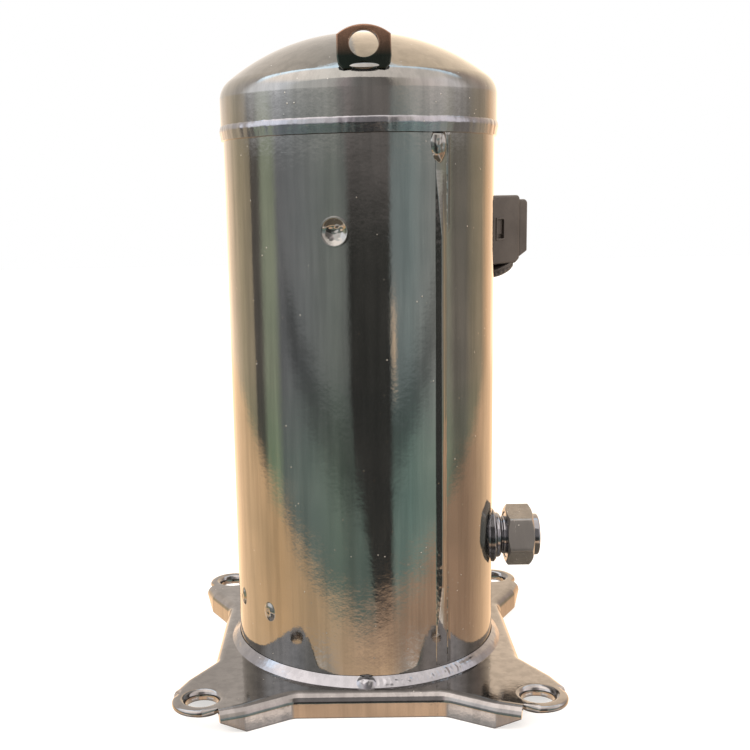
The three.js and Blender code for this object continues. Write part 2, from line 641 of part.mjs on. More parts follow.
piece(compressor, 'muffler_plate', mufflerPlate(), DARK_STEEL);
piece(compressor, 'discharge_valve_cage', dischargeValveCage(), BARE_STEEL);
piece(compressor, 'discharge_valve_disc', rod(11.6, CAP_BOTTOM + 0.2, CAP_BOTTOM + 2.2), BARE_STEEL);
piece(compressor, 'relief_valve', rod(5, CAP_BOTTOM, CAP_BOTTOM + 5, 6)
  .add(rod(3.6, CAP_BOTTOM + 4, CAP_BOTTOM + 13, SMALL)).translate([46, -18, 0]), BRONZE);
piece(compressor, 'floating_seal', turned([[29.5, 322], [50.5, 322], [50.5, 329], [44, 331], [44, 334],
  [36, 334], [36, 331], [29.5, 329]]), CAST_IRON);

// ---- crankshaft and motor --------------------------------------------------------------------------

const OIL_PLUG_Y = ECCENTRIC / 2;

function crankshaft() {
  let shaft = turned([
    [0, 34], [LOWER_JOURNAL_R - 1, 34], [LOWER_JOURNAL_R, 35], [LOWER_JOURNAL_R, 68.6], [SHAFT_R, 68.6],
    [SHAFT_R, 226], [JOURNAL_R, 228], [JOURNAL_R, 264.4], [0, 264.4],
  ], MID);
  shaft = shaft.add(rod(PIN_R, 263, 284.2, MID).translate([0, ECCENTRIC, 0]));
  shaft = shaft.subtract(rod(5, 33, 47, SMALL));
  return shaft.subtract(rod(3, 280.2, 285, 12).translate([0, OIL_PLUG_Y, 0]));
}

// Half-ring of weight around the shaft, on the side away from (upper) or towards (lower) the crank pin.
function counterweight(inner, outer, low, high, middle) {
  const sector = sectorShape(inner, outer, degrees(middle - 80), degrees(middle + 80));
  const weight = extruded(sector, low, high, 12);
  return weight.add(ring(inner, inner + 5, low, high, MID));
}

function statorCore() {
  const shape = new THREE.Shape();
  shape.absarc(0, 0, SHELL_R - SHELL_WALL - GAP, 0, 2 * Math.PI, false);
  const slots = 18;
  const bore = [];
  for (let i = 0; i < slots; i += 1) {
    const middle = (2 * Math.PI * i) / slots;
    for (const [r, width] of [[42, 1.4], [44, 4.4], [56, 5.6], [56, -5.6], [44, -4.4], [42, -1.4]]) {
      const angle = middle - width / r;
      bore.push(new THREE.Vector2(r * Math.cos(angle), r * Math.sin(angle)));
    }
  }
  shape.holes.push(new THREE.Path(bore.reverse()));
  let core = extruded(shape, STATOR_LOW, STATOR_HIGH, MID);
  for (let i = 0; i < 6; i += 1) {
    const flat = block([75.5, 90], [-9, 9], [STATOR_LOW - 1, STATOR_HIGH + 1]);
    core = core.subtract(flat.rotate([0, 0, 60 * i]));
  }
  return core;
}

// A wound end bundle, as a rounded ring with a lacing groove.
function windingBundle(low, high) {
  const middle = (low + high) / 2;
  const half = (high - low) / 2;
  const profile = [[45.5, middle - half + 4], [49, low], [64, low], [70.5, middle - half + 7], [69, middle],
    [70.5, middle + half - 7], [64, high], [49, high], [45.5, middle + half - 4]];
  return turned(profile);
}

function lowerBearingBracket() {
  const r = SHELL_R - SHELL_WALL - GAP;
  const middle = -90 - (WELD_SPOTS_LEFT[0] + WELD_SPOTS_LEFT[1]) / 2;
  const hub = ring(12.3, 24, 41, 66, MID);
  const bar = block([-76, 76], [-20, 20], [47, 50.5]).subtract(rod(12.3, 40, 70, MID));
  const tabs = extruded(sectorShape(r - 3.5, r, degrees(-16), degrees(16)), 44, 60, 12);
  const arms = sum([bar, tabs, tabs.rotate([0, 0, 180])]).intersect(rod(r, 30, 80));
  return hub.add(arms).rotate([0, 0, middle]);
}

function oilPickupTube() {
  return turned([[2, 22], [5.6, 22], [7.2, 27], [7.2, 33.6], [4.6, 33.6], [4.6, 45], [3.2, 45], [3.2, 28],
    [2, 26]], SMALL);
}

piece(compressor, 'crankshaft', crankshaft(), BARE_STEEL);
piece(compressor, 'drive_bushing', ring(PIN_R + GAP, PIN_R + 4, 266.8, 284, MID).translate([0, ECCENTRIC, 0]),
  BARE_STEEL);
piece(compressor, 'oil_gallery_plug', rod(2.6, 280.5, 283.8, 12).translate([0, OIL_PLUG_Y, 0]), BRONZE);
piece(compressor, 'upper_counterweight', counterweight(SHAFT_R + GAP, 40, 206, 225, -90), CAST_IRON);
piece(compressor, 'rotor_core', ring(SHAFT_R + GAP, ROTOR_R, 108, 187), DARK_STEEL);
piece(compressor, 'rotor_end_ring_upper', ring(26, ROTOR_R - 1.5, 187.3, 196), ALUMINIUM);
piece(compressor, 'rotor_end_ring_lower', ring(26, ROTOR_R - 1.5, 99, 107.7), ALUMINIUM);
piece(compressor, 'lower_counterweight', counterweight(26, ROTOR_R - 2, 86, 98.7, 90), CAST_IRON);
piece(compressor, 'stator_core', statorCore(), DARK_STEEL);
piece(compressor, 'winding_upper', windingBundle(STATOR_HIGH + GAP, STATOR_HIGH + 30), COPPER);
piece(compressor, 'winding_lower', windingBundle(STATOR_LOW - 28, STATOR_LOW - GAP), COPPER);
piece(compressor, 'motor_protector', rodOut(6, -11, 11, SMALL).rotate([0, 0, 90])
  .translate([57, 0, STATOR_HIGH + 36.5]), BLACK_PLASTIC);
piece(compressor, 'lower_bearing_bracket', lowerBearingBracket(), BARE_STEEL);
piece(compressor, 'lower_bearing_bush', ring(LOWER_JOURNAL_R + RUN, 12, 41.3, 65.7, MID), BRONZE);
piece(compressor, 'lower_thrust_washer', ring(LOWER_JOURNAL_R + RUN, 18, 66.3, 68.3, MID), BRONZE);
piece(compressor, 'oil_pickup_tube', oilPickupTube(), BARE_STEEL);
piece(compressor, 'sump_magnet', ring(6, 12, 10.6, 14.6, SMALL).translate([48, -30, 0]), MAGNET);

export default compressor;
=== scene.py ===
"""Looks of a hermetic scroll compressor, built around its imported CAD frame.

Lengths are in millimetres, and are turned into metres where a mesh is made. Only the materials, the
lamps and the camera's near and far limits are given in metres from the start.
The shell's axis is Z, -Y is the front and +X the side of the suction fitting.
"""

import math

import bmesh
import bpy
from mathutils import Matrix, Vector, noise


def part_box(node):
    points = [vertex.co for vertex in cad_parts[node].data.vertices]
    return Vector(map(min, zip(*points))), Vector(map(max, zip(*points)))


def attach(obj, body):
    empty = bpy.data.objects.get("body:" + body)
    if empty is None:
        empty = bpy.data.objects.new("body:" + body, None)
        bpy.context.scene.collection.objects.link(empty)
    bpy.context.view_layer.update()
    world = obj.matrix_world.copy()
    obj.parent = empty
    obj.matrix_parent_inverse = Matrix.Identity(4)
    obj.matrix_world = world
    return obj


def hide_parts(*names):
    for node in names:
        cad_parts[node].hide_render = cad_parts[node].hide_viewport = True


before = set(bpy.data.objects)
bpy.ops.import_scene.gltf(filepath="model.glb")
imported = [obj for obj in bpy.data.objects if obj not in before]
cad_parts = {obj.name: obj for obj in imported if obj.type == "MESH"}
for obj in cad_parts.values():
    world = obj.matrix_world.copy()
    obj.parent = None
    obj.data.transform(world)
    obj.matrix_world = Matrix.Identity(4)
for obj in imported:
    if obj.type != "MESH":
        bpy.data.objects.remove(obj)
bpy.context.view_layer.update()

MM = 0.001
TURN = 2 * math.pi


def span(node):
    """Lowest and highest corner of a CAD node, in millimetres."""
    low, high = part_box(node)
    return low / MM, high / MM


# ---- sizes, worked out from the frame --------------------------------------------------------------

SHELL_LOW, SHELL_HIGH = span("shell")
SHELL_R = SHELL_HIGH.y
SHELL_WALL = 3.0
CAP_LOW, CAP_HIGH = span("top_cap")
CAP_R = CAP_HIGH.x
CAP_WALL = 3.2
KNUCKLE_R = 14.0
KNUCKLE_Z = CAP_LOW.z + 18.2           # where the cap's straight wall ends
PLATE_LOW, PLATE_HIGH = span("base_plate")
PLATE_TOP = PLATE_HIGH.z
PLATE_WALL = 3.0
FOOT_R = 17.25
FOOT_HOLE_R = 9.5
FOOT_MARGIN = 2.194                    # from the feet out to the sides of the CAD plate's box
FOOT_AT = PLATE_HIGH.x - FOOT_R - FOOT_MARGIN  # foot hole centres, along X and Y
BEND_R = 6.0                           # outer radius of the bend between the plate and its skirts
SKIRT_SPREAD = 1.03                    # a skirt's outline in plan is this much larger than the plate's
SKIRT_INSET = 21.13                    # middle of a skirt's face, in from the side of the plate's box
SKIRT_RISE = 8.0                       # how far above the floor a skirt's lower edge ends

SUCTION_Z = sum(c.z for c in span("suction_spud")) / 2
DISCHARGE_Z = sum(c.z for c in span("discharge_spud")) / 2
BOX_LOW = -23.0                        # underside of the terminal box, from the terminal's centre
TERMINAL_Z = span("terminal_box")[0].z - BOX_LOW
TERMINAL_AZIMUTH = 40.0                # degrees from +X towards +Y
SEAM_AZIMUTH = -59.5                   # the shell's lengthwise weld
STAKE_AZIMUTH = -100.9                 # punched dimple over the main bearing
STAKE_Z = 280.0
WELD_SPOT_AZIMUTHS = (-135.8, -158.6, 44.2, 21.4)  # nuggets that hold the lower bearing's bracket
WELD_SPOT_Z = 51.0


# ---- camera ----------------------------------------------------------------------------------------

def make_camera():
    data = bpy.data.cameras.new("camera")
    data.lens = 51.97
    data.sensor_width = 36.0
    data.shift_x = 0.0673
    data.shift_y = 0.0158
    data.clip_start = 0.02
    data.clip_end = 50.0
    camera = bpy.data.objects.new("camera", data)
    bpy.context.scene.collection.objects.link(camera)
    heading = Matrix.Rotation(math.radians(0.977), 4, "Z")
    tilt = Matrix.Rotation(math.radians(79.891), 4, "X")
    roll = Matrix.Rotation(math.radians(-1.188), 4, "Z")
    place = Matrix.Translation(Vector((-12.28, -680.97, 300.39)) * MM)
    camera.matrix_world = place @ heading @ tilt @ roll
    bpy.context.scene.camera = camera


# ---- node materials --------------------------------------------------------------------------------

class Nodes:
    """Short names for building one material's or the world's node tree."""

    def __init__(self, tree):
        self.tree = tree
        self.tree.nodes.clear()

    def add(self, kind, **settings):
        node = self.tree.nodes.new(kind)
        for name, value in settings.items():
            if name in node.inputs:
                self.feed(node.inputs[name], value)
            else:
                setattr(node, name, value)
        return node

    def feed(self, socket, value):
        if isinstance(value, bpy.types.NodeSocket):
            self.tree.links.new(value, socket)
        else:
            socket.default_value = value

    def noise(self, where, scale, detail=2.0, roughness=0.5):
        node = self.add("ShaderNodeTexNoise", Vector=where, Scale=scale, Detail=detail, Roughness=roughness)
        return node.outputs["Fac"]

    def math(self, operation, first, second=0.0, third=0.0):
        node = self.add("ShaderNodeMath", operation=operation)
        for socket, value in zip(node.inputs, (first, second, third)):
            self.feed(socket, value)
        return node.outputs[0]

    def remap(self, value, low, high, to_low=0.0, to_high=1.0):
        node = self.add("ShaderNodeMapRange", clamp=True)
        for socket, number in zip(node.inputs, (value, low, high, to_low, to_high)):
            self.feed(socket, number)
        return node.outputs[0]

    def mix(self, factor, first, second):
        node = self.add("ShaderNodeMix", data_type="RGBA")
        self.feed(node.inputs[0], factor)
        self.feed(node.inputs[6], first if isinstance(first, bpy.types.NodeSocket) else (*first, 1.0))
        self.feed(node.inputs[7], second if isinstance(second, bpy.types.NodeSocket) else (*second, 1.0))
        return node.outputs[2]

    def grey(self, value):
        return self.add("ShaderNodeCombineColor", Red=value, Green=value, Blue=value).outputs[0]

    def product(self, first, second):
        node = self.add("ShaderNodeMix", data_type="RGBA", blend_type="MULTIPLY")
        for place, value in ((0, 1.0), (6, first), (7, second)):
            self.feed(node.inputs[place], value)
        return node.outputs[2]

    def ramp(self, value, stops):
        node = self.add("ShaderNodeValToRGB")
        self.feed(node.inputs[0], value)
        ramp = node.color_ramp
        while len(ramp.elements) < len(stops):
            ramp.elements.new(1.0)
        for element, (place, color) in zip(ramp.elements, stops):
            element.position = place
            element.color = (*color, 1.0)
        return node.outputs[0]

    def stretched(self, where, x, y, z):
        return self.add("ShaderNodeMapping", Vector=where, Scale=(x, y, z)).outputs[0]

    def bump(self, height, distance, strength=1.0, normal=None):
        node = self.add("ShaderNodeBump", Height=height, Distance=distance, Strength=strength)
        if normal is not None:
            self.feed(node.inputs["Normal"], normal)
        return node.outputs[0]


def new_material(name):
    material = bpy.data.materials.new(name)
    material.use_nodes = True
    nodes = Nodes(material.node_tree)
    where = nodes.add("ShaderNodeTexCoord").outputs["Object"]
    shader = nodes.add("ShaderNodeBsdfPrincipled")
    output = nodes.add("ShaderNodeOutputMaterial")
    nodes.feed(output.inputs["Surface"], shader.outputs[0])
    return material, nodes, where, shader


def enamel(name, dark, warm, smooth, dull, peel=1.0, metallic=0.98, crown=None):
    """Black baked enamel: deep gloss, orange peel, faint runs, dust nibs and small scuffs.

    smooth and dull are its roughness where it is clean and where it is scuffed, and peel scales its bumps.
    crown is a painted warm reflection: a tint and the two heights between which the enamel turns to it,
    towards the top."""
    material, nodes, where, shader = new_material(name)
    shader.inputs["Metallic"].default_value = metallic
    cloud = nodes.noise(where, 14.0, 3.0, 0.6)
    runs = nodes.noise(nodes.stretched(where, 160.0, 160.0, 9.0), 1.0, 3.0, 0.6)
    tone = nodes.mix(nodes.remap(cloud, 0.35, 0.68), dark, warm)
    shade = nodes.mix(nodes.remap(runs, 0.42, 0.62, 0.0, 0.35), tone, tuple(0.62 * c for c in dark))
    # Painted reflection: above a height the colour turns to a warm tint, so the top looks as if it mirrored
    # warm light.
    if crown:
        painted_reflection_tint, low, high = crown
        rise = nodes.add("ShaderNodeSeparateXYZ", Vector=where).outputs["Z"]
        shade = nodes.mix(nodes.remap(rise, low, high), shade, painted_reflection_tint)
    grit = nodes.add("ShaderNodeTexVoronoi", Vector=where, Scale=230.0, Randomness=1.0)
    chosen = nodes.remap(nodes.noise(where, 60.0, 2.0), 0.56, 0.64)
    dust = nodes.math("MULTIPLY", nodes.remap(grit.outputs["Distance"], 0.10, 0.05), chosen)
    nodes.feed(shader.inputs["Base Color"], nodes.mix(dust, shade, (0.62, 0.6, 0.55)))
    scuff = nodes.noise(nodes.stretched(where, 420.0, 420.0, 40.0), 1.0, 4.0, 0.7)
    worn = nodes.remap(nodes.math("MULTIPLY", scuff, cloud), 0.2, 0.42, smooth, dull)
    nodes.feed(shader.inputs["Roughness"], nodes.math("MULTIPLY_ADD", dust, 0.35, worn))
    wave = nodes.bump(nodes.noise(where, 34.0, 2.0), 0.00014 * peel)
    skin = nodes.bump(nodes.noise(where, 420.0, 3.0, 0.6), 0.00003 * peel, 1.0, wave)
    nib = nodes.bump(dust, 0.00012, 1.0, skin)
    nodes.feed(shader.inputs["Normal"], nib)
    return material


def plastic(name, dark, pale):
    """Matt moulded plastic with a fine spark-eroded grain and rubbed, slightly paler patches."""
    material, nodes, where, shader = new_material(name)
    shader.inputs["IOR"].default_value = 1.5
    cloud = nodes.noise(where, 45.0, 4.0, 0.6)
    nodes.feed(shader.inputs["Base Color"], nodes.mix(nodes.remap(cloud, 0.35, 0.7), dark, pale))
    grain = nodes.noise(where, 2600.0, 2.0, 0.6)
    nodes.feed(shader.inputs["Roughness"], nodes.remap(cloud, 0.3, 0.7, 0.42, 0.6))
    coarse = nodes.bump(nodes.noise(where, 260.0, 2.0), 0.00004)
    nodes.feed(shader.inputs["Normal"], nodes.bump(grain, 0.00003, 0.8, coarse))
    return material


def metal(name, dark, pale, smooth, dull, grain=(900.0, 900.0, 60.0), depth=0.00002):
    """Bare or coated metal with directional tool marks and uneven oxide."""
    material, nodes, where, shader = new_material(name)
    shader.inputs["Metallic"].default_value = 0.92
    stain = nodes.noise(where, 70.0, 4.0, 0.65)
    marks = nodes.noise(nodes.stretched(where, *grain), 1.0, 3.0, 0.6)
    nodes.feed(shader.inputs["Base Color"], nodes.mix(nodes.remap(stain, 0.3, 0.7), dark, pale))
    uneven = nodes.math("MULTIPLY_ADD", marks, 0.4, stain)
    nodes.feed(shader.inputs["Roughness"], nodes.remap(uneven, 0.45, 0.95, smooth, dull))
    nodes.feed(shader.inputs["Normal"], nodes.bump(marks, depth))
    return material


def rubber(name):
    material, nodes, where, shader = new_material(name)
    cloud = nodes.noise(where, 120.0, 3.0)
    nodes.feed(shader.inputs["Base Color"], nodes.mix(cloud, (0.012, 0.012, 0.012), (0.035, 0.034, 0.032)))
    nodes.feed(shader.inputs["Roughness"], nodes.remap(cloud, 0.3, 0.7, 0.7, 0.9))
    nodes.feed(shader.inputs["Normal"], nodes.bump(nodes.noise(where, 1500.0), 0.00002))
    return material


def make_materials():
    """One material for each of the record's slots, and variants of the enamel for the rougher pieces."""
    return {
        "black_enamel": enamel("black_enamel", (0.20, 0.205, 0.20), (0.26, 0.255, 0.245), 0.045, 0.11),
        "plate_enamel": enamel("plate_enamel", (0.21, 0.203, 0.203), (0.3, 0.29, 0.288), 0.06, 0.15, 1.1),
        # The weld enamel is paler and bluer than the shell's: a painted cool sheen, like a pale sky's
        # reflection.
        "weld_enamel_painted_sheen": enamel("weld_enamel_painted_sheen", (0.235, 0.24, 0.262), (0.31, 0.312, 0.335), 0.12, 0.26, 1.8),
        # Painted reflection on the eye: its near-black, greenish body copies a dark reflection, and its top
        # turns to a warm tint.
        "eye_enamel_painted_reflection": enamel("eye_enamel_painted_reflection", (0.02, 0.03, 0.025), (0.034, 0.036, 0.03), 0.12, 0.24,
                             crown=((0.24, 0.145, 0.1), 0.373, 0.386)),
        "fitting_enamel": enamel("fitting_enamel", (0.19, 0.18, 0.17), (0.28, 0.262, 0.24), 0.2, 0.36,
                                 peel=1.4, metallic=0.7),
        "black_plastic": plastic("black_plastic", (0.036, 0.029, 0.025), (0.058, 0.048, 0.041)),
        "bare_steel": metal("bare_steel", (0.42, 0.41, 0.4), (0.55, 0.54, 0.53), 0.22, 0.42),
        "dark_steel": metal("dark_steel", (0.14, 0.125, 0.11), (0.26, 0.235, 0.205), 0.28, 0.46),
        "cast_iron": metal("cast_iron", (0.13, 0.13, 0.135), (0.22, 0.22, 0.22), 0.45, 0.7,
                           (300.0, 300.0, 300.0), 0.00006),
        "aluminium": metal("aluminium", (0.6, 0.6, 0.61), (0.74, 0.74, 0.75), 0.25, 0.45),
        "bronze": metal("bronze", (0.36, 0.24, 0.11), (0.5, 0.34, 0.17), 0.25, 0.45),
        "copper": metal("copper", (0.42, 0.16, 0.06), (0.58, 0.25, 0.1), 0.22, 0.4, (60.0, 60.0, 1100.0)),
        "rubber": rubber("rubber"),
        "magnet": metal("magnet", (0.05, 0.05, 0.055), (0.09, 0.09, 0.095), 0.4, 0.6),
    }


# ---- mesh helpers ----------------------------------------------------------------------------------

def rounded(corners, closed=True, step=12.0):
    """A plane line through (x, y, radius) corners, each corner turned into an arc of its radius."""
    line = []
    count = len(corners)
    for i, (x, y, radius) in enumerate(corners):
        here = Vector((x, y))
        if radius == 0 or (not closed and i in (0, count - 1)):
            line.append(here)
            continue
        before = Vector(corners[i - 1][:2]) - here
        after = Vector(corners[(i + 1) % count][:2]) - here
        half = before.angle(after) / 2
        reach = min(radius / math.tan(half), 0.49 * before.length, 0.49 * after.length)
        middle = (before.normalized() + after.normalized()).normalized()
        centre = here + middle * (reach / math.cos(half))
        first = here + before.normalized() * reach - centre
        last = here + after.normalized() * reach - centre
        turn = first.angle_signed(last)
        steps = max(2, math.ceil(abs(turn) / math.radians(step)))
        for k in range(steps + 1):
            line.append(centre + Matrix.Rotation(-turn * k / steps, 2) @ first)
    return line


def arc(x, y, radius, start, end, steps):
    """Points of an arc, with its angles in degrees."""
    angles = [math.radians(start + (end - start) * k / steps) for k in range(steps + 1)]
    return [Vector((x + radius * math.cos(a), y + radius * math.sin(a))) for a in angles]


def outward(line, closed=True):
    """Unit normals on the left of a plane line, each scaled so that offset edges stay parallel."""
    normals = []
    count = len(line)
    for i, here in enumerate(line):
        back = line[i - 1] if closed or i > 0 else None
        ahead = line[(i + 1) % count] if closed or i < count - 1 else None
        sides = [b - a for a, b in ((back, here), (here, ahead)) if a is not None and b is not None]
        units = [Vector((-s.y, s.x)).normalized() for s in sides if s.length > 1e-7]
        normal = sum(units, Vector((0, 0))).normalized()
        normals.append(normal / max(0.5, normal.dot(units[0])))
    return normals


def loft(bm, rings, closed_path=False, capped=False):
    """Joins closed rings of points, one to the next. A capped loft has its first and last ring filled."""
    made = [[bm.verts.new(p) for p in ring] for ring in rings]
    pairs = list(zip(made, made[1:]))
    if closed_path:
        pairs.append((made[-1], made[0]))
    for near, far in pairs:
        for i in range(len(near)):
            j = (i + 1) % len(near)
            bm.faces.new((near[i], near[j], far[j], far[i]))
    if capped:
        bm.faces.new(made[0])
        bm.faces.new(reversed(made[-1]))


def tidied(bm):
    bmesh.ops.remove_doubles(bm, verts=bm.verts, dist=1e-4)
    bmesh.ops.dissolve_degenerate(bm, edges=bm.edges, dist=1e-5)
    bmesh.ops.delete(bm, geom=[edge for edge in bm.edges if not edge.link_faces], context="EDGES")
    bmesh.ops.recalc_face_normals(bm, faces=bm.faces)
    return bm


def lathe(profile, sides=96):
    """Turns a closed profile of (radius, height) points about Z."""
    bm = bmesh.new()
    angles = [TURN * k / sides for k in range(sides)]
    rings = [[Vector((r * math.cos(a), r * math.sin(a), z)) for r, z in profile] for a in angles]
    loft(bm, rings, closed_path=True)
    return tidied(bm)


def round_bar(radius, low, high, sides=96):
    """A plain closed cylinder along Z, used to cut with."""
    bm = bmesh.new()
    angles = [TURN * k / sides for k in range(sides)]
    rings = [[Vector((radius * math.cos(a), radius * math.sin(a), z)) for a in angles] for z in (low, high)]
    loft(bm, rings, capped=True)
    return tidied(bm)


def swept_round(section_at, azimuths):
    """Turns a section that changes with the azimuth: section_at(degrees) is a list of (radius, height)."""
    bm = bmesh.new()
    rings = []
    for azimuth in azimuths:
        a = math.radians(azimuth)
        rings.append([Vector((r * math.cos(a), r * math.sin(a), z)) for r, z in section_at(azimuth)])
    loft(bm, rings, closed_path=True)
    return tidied(bm)


def slab(loops):
    """A flat solid. Each loop is (line, weights, edge). The edge's (offset, height) rows run from the top
    face to the bottom face, offset along the line's left normal and scaled by the point's weight."""
    bm = bmesh.new()
    tops = []
    bottoms = []
    for line, weights, edge in loops:
        normals = outward(line)
        low = edge[-1][1]
        rows = []
        for offset, height in edge:
            row = []
            for point, normal, weight in zip(line, normals, weights):
                place = point + normal * offset * weight
                row.append(bm.verts.new((place.x, place.y, height if weight else max(height, low))))
            rows.append(row)
        for near, far in zip(rows, rows[1:]):
            for i in range(len(near)):
                j = (i + 1) % len(near)
                bm.faces.new((near[i], near[j], far[j], far[i]))
        tops.append(rows[0])
        bottoms.append(rows[-1])
    for face_loops in (tops, bottoms):
        edges = []
        for row in face_loops:
            edges += [bm.edges.get((row[i - 1], row[i])) for i in range(len(row))]
        bmesh.ops.triangle_fill(bm, use_beauty=True, use_dissolve=False, edges=edges)
    return tidied(bm)


def whole(line):
    return [1.0] * len(line)


def soft_edge(radius, high, low):
    """Edge rows of a slab whose two rims are rounded."""
    turn = [(math.sin(a) - 1, 1 - math.cos(a)) for a in (0, 0.4, 0.8, 1.2, math.pi / 2)]
    top = [(radius * out, high - radius * down) for out, down in turn]
    return top + [(out, high + low - z) for out, z in reversed(top)]


def clockwise(line):
    """The line in the direction that has its outside on the left."""
    area = sum(a.cross(b) for a, b in zip(line, line[1:] + line[:1]))
    return line if area < 0 else line[::-1]


def anticlockwise(line):
    return clockwise(line)[::-1]


def joined(*parts):
    """Several bmeshes, or (bmesh, matrix) pairs, as one."""
    bm = bmesh.new()
    for part in parts:
        source, matrix = part if isinstance(part, tuple) else (part, Matrix.Identity(4))
        mesh = bpy.data.meshes.new("part")
        source.to_mesh(mesh)
        mesh.transform(matrix)
        bm.from_mesh(mesh)
        bpy.data.meshes.remove(mesh)
    return bm


def to_object(name, bm, material=None, sharp=35.0):
    mesh = bpy.data.meshes.new(name)
    bm.to_mesh(mesh)
    bm.free()
    mesh.transform(Matrix.Scale(MM, 4))
    if material is not None:
        mesh.materials.append(material)
    obj = bpy.data.objects.new(name, mesh)
    bpy.context.scene.collection.objects.link(obj)
    smooth_shaded(obj, sharp)
    return obj


def smooth_shaded(obj, sharp):
    """Smooth shading, with the edges sharper than an angle in degrees kept crisp."""
    obj.data.shade_smooth()
    obj.data.set_sharp_from_angle(angle=math.radians(sharp))


def moved(obj, matrix):
    """Moves an object's mesh by a matrix whose lengths are in millimetres."""
    obj.data.transform(Matrix.Scale(MM, 4) @ matrix @ Matrix.Scale(1 / MM, 4))


def baked(obj):
    """Puts the result of an object's modifiers into its mesh."""
    graph = bpy.context.evaluated_depsgraph_get()
    mesh = bpy.data.meshes.new_from_object(obj.evaluated_get(graph))
    obj.modifiers.clear()
    obj.data = mesh


def combined(obj, operation, bm, material=None):
    """Joins a closed bmesh to an object, or takes it away."""
    other = to_object("other", bm, material)
    modifier = obj.modifiers.new("combined", "BOOLEAN")
    modifier.operation = operation
    modifier.solver = "EXACT"
    modifier.object = other
    baked(obj)
    bpy.data.objects.remove(other)


def cut(obj, *cutters):
    """Cuts closed bmeshes out of an object."""
    for bm in cutters:
        combined(obj, "DIFFERENCE", bm)


def softened(obj, width):
    """Rounds an object's edges a little."""
    bevel = obj.modifiers.new("bevel", "BEVEL")
    bevel.width = width * MM
    bevel.segments = 2
    bevel.limit_method = "ANGLE"
    bevel.angle_limit = math.radians(20.0)
    bevel.use_clamp_overlap = True
    baked(obj)
    smooth_shaded(obj, 40.0)


def flat_faces_first(obj):
    """Shades large flat faces flat right up to their rounded edges."""
    modifier = obj.modifiers.new("normals", "WEIGHTED_NORMAL")
    modifier.keep_sharp = True
    modifier.weight = 80


def finish_piece(obj, body, slot, *nodes):
    """Puts a piece on its body, in place of the CAD nodes it stands for. The slot is not used."""
    flat_faces_first(obj)
    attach(obj, body)
    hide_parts(*nodes)
    return obj


def outward_matrix(azimuth, height):
    """Turns a piece built along Z so that Z points out of the shell at an azimuth."""
    turn = Matrix.Rotation(math.radians(azimuth), 4, "Z") @ Matrix.Rotation(math.pi / 2, 4, "Y")
    return Matrix.Translation((0, 0, height)) @ turn


def box_solid(x, y, z):
    """A plain closed box between pairs of limits, used to cut with."""
    bm = bmesh.new()
    corners = ((x[0], y[0]), (x[1], y[0]), (x[1], y[1]), (x[0], y[1]))
    loft(bm, [[Vector((a, b, h)) for a, b in corners] for h in z], capped=True)
    return tidied(bm)


def refined(low, high, coarse, fine, places):
    """Rising values from low to high: coarse steps, and fine ones within reach of each (place, reach)."""
    values = [low]
    while values[-1] < high - 1e-6:
        here = values[-1]
        step = coarse
        for place, reach in places:
            if abs(here - place) < reach:
                step = min(step, fine)
            elif here < place - reach < here + step:
                step = min(step, place - reach - here + 1e-3)
        values.append(min(high, here + step))
    return values


def ripple(x, y, z):
    """A smooth random height between about -1 and 1, the same at the same place each time."""
    return noise.noise(Vector((x, y, z)))


# ---- shell and caps --------------------------------------------------------------------------------

def angle_apart(a, b):
    """Degrees from b round to a, between -180 and 180."""
    return (a - b + 180.0) % 360.0 - 180.0


def stake_depth(azimuth, z):
    """Depth of the punched dimple: a crisp rim, steep sides and a rough floor."""
    across = math.radians(angle_apart(azimuth, STAKE_AZIMUTH)) * SHELL_R / 6.9
    up = (z - STAKE_Z + 0.4) / 7.2
    r = math.hypot(across, up)
    if r > 1.3:
        return 0.0
    pit = 2.7 * max(0.0, 1 - r ** 2.2) ** 0.8
    marks = 0.3 * ripple(across * 2.6, up * 4.2, 4.0) * max(0.0, min(1.0, (0.9 - r) * 4))
    lip = -0.1 * math.exp(-((r - 1.08) / 0.07) ** 2)
    return pit + marks + lip


def spot_height(azimuth, z):
    """Height of the weld nuggets that hold the lower bearing bracket."""
    height = 0.0
    for place in WELD_SPOT_AZIMUTHS:
        across = math.radians(angle_apart(azimuth, place)) * SHELL_R / 4.6
        up = (z - WELD_SPOT_Z) / 5.6
        r = math.hypot(across, up)
        if r < 1.3:
            crater = 0.5 * math.exp(-((r / 0.35) ** 2))
            uneven = 1 + 0.25 * ripple(across * 2, up * 2, place)
            height += 1.5 * max(0.0, 1 - r ** 2) ** 0.8 * uneven - crater
    return height


def shell_section(heights):
    """The shell's wall with its dimple and its weld nuggets, as a section for each azimuth."""
    def section_at(azimuth):
        outer = [(SHELL_R - stake_depth(azimuth, z) + spot_height(azimuth, z), z) for z in heights]
        inner = SHELL_R - SHELL_WALL
        return outer + [(inner, SHELL_HIGH.z), (inner, SHELL_LOW.z)]
    return section_at


def make_shell(look):
    heights = refined(SHELL_LOW.z, SHELL_HIGH.z, 8.0, 0.5, [(STAKE_Z, 9.5), (WELD_SPOT_Z, 7.0)])
    close = [(STAKE_AZIMUTH, 6.5)] + [(place, 4.2) for place in WELD_SPOT_AZIMUTHS]
    azimuths = refined(-180.0, 180.0, 2.5, 0.35, close)[:-1]
    obj = to_object("shell_tube", swept_round(shell_section(heights), azimuths), look["black_enamel"], 60.0)
    out = outward_matrix(0, SUCTION_Z)
    terminal = outward_matrix(TERMINAL_AZIMUTH, TERMINAL_Z)
    holes = [joined((round_bar(r, 60, 95, 64), place)) for r, place in ((15.4, out), (14.4, terminal))]
    cut(obj, *holes)
    return finish_piece(obj, "housing", "black_enamel", "shell")


BURIED = -0.4                          # height of a weld's surface where it is hidden in the shell


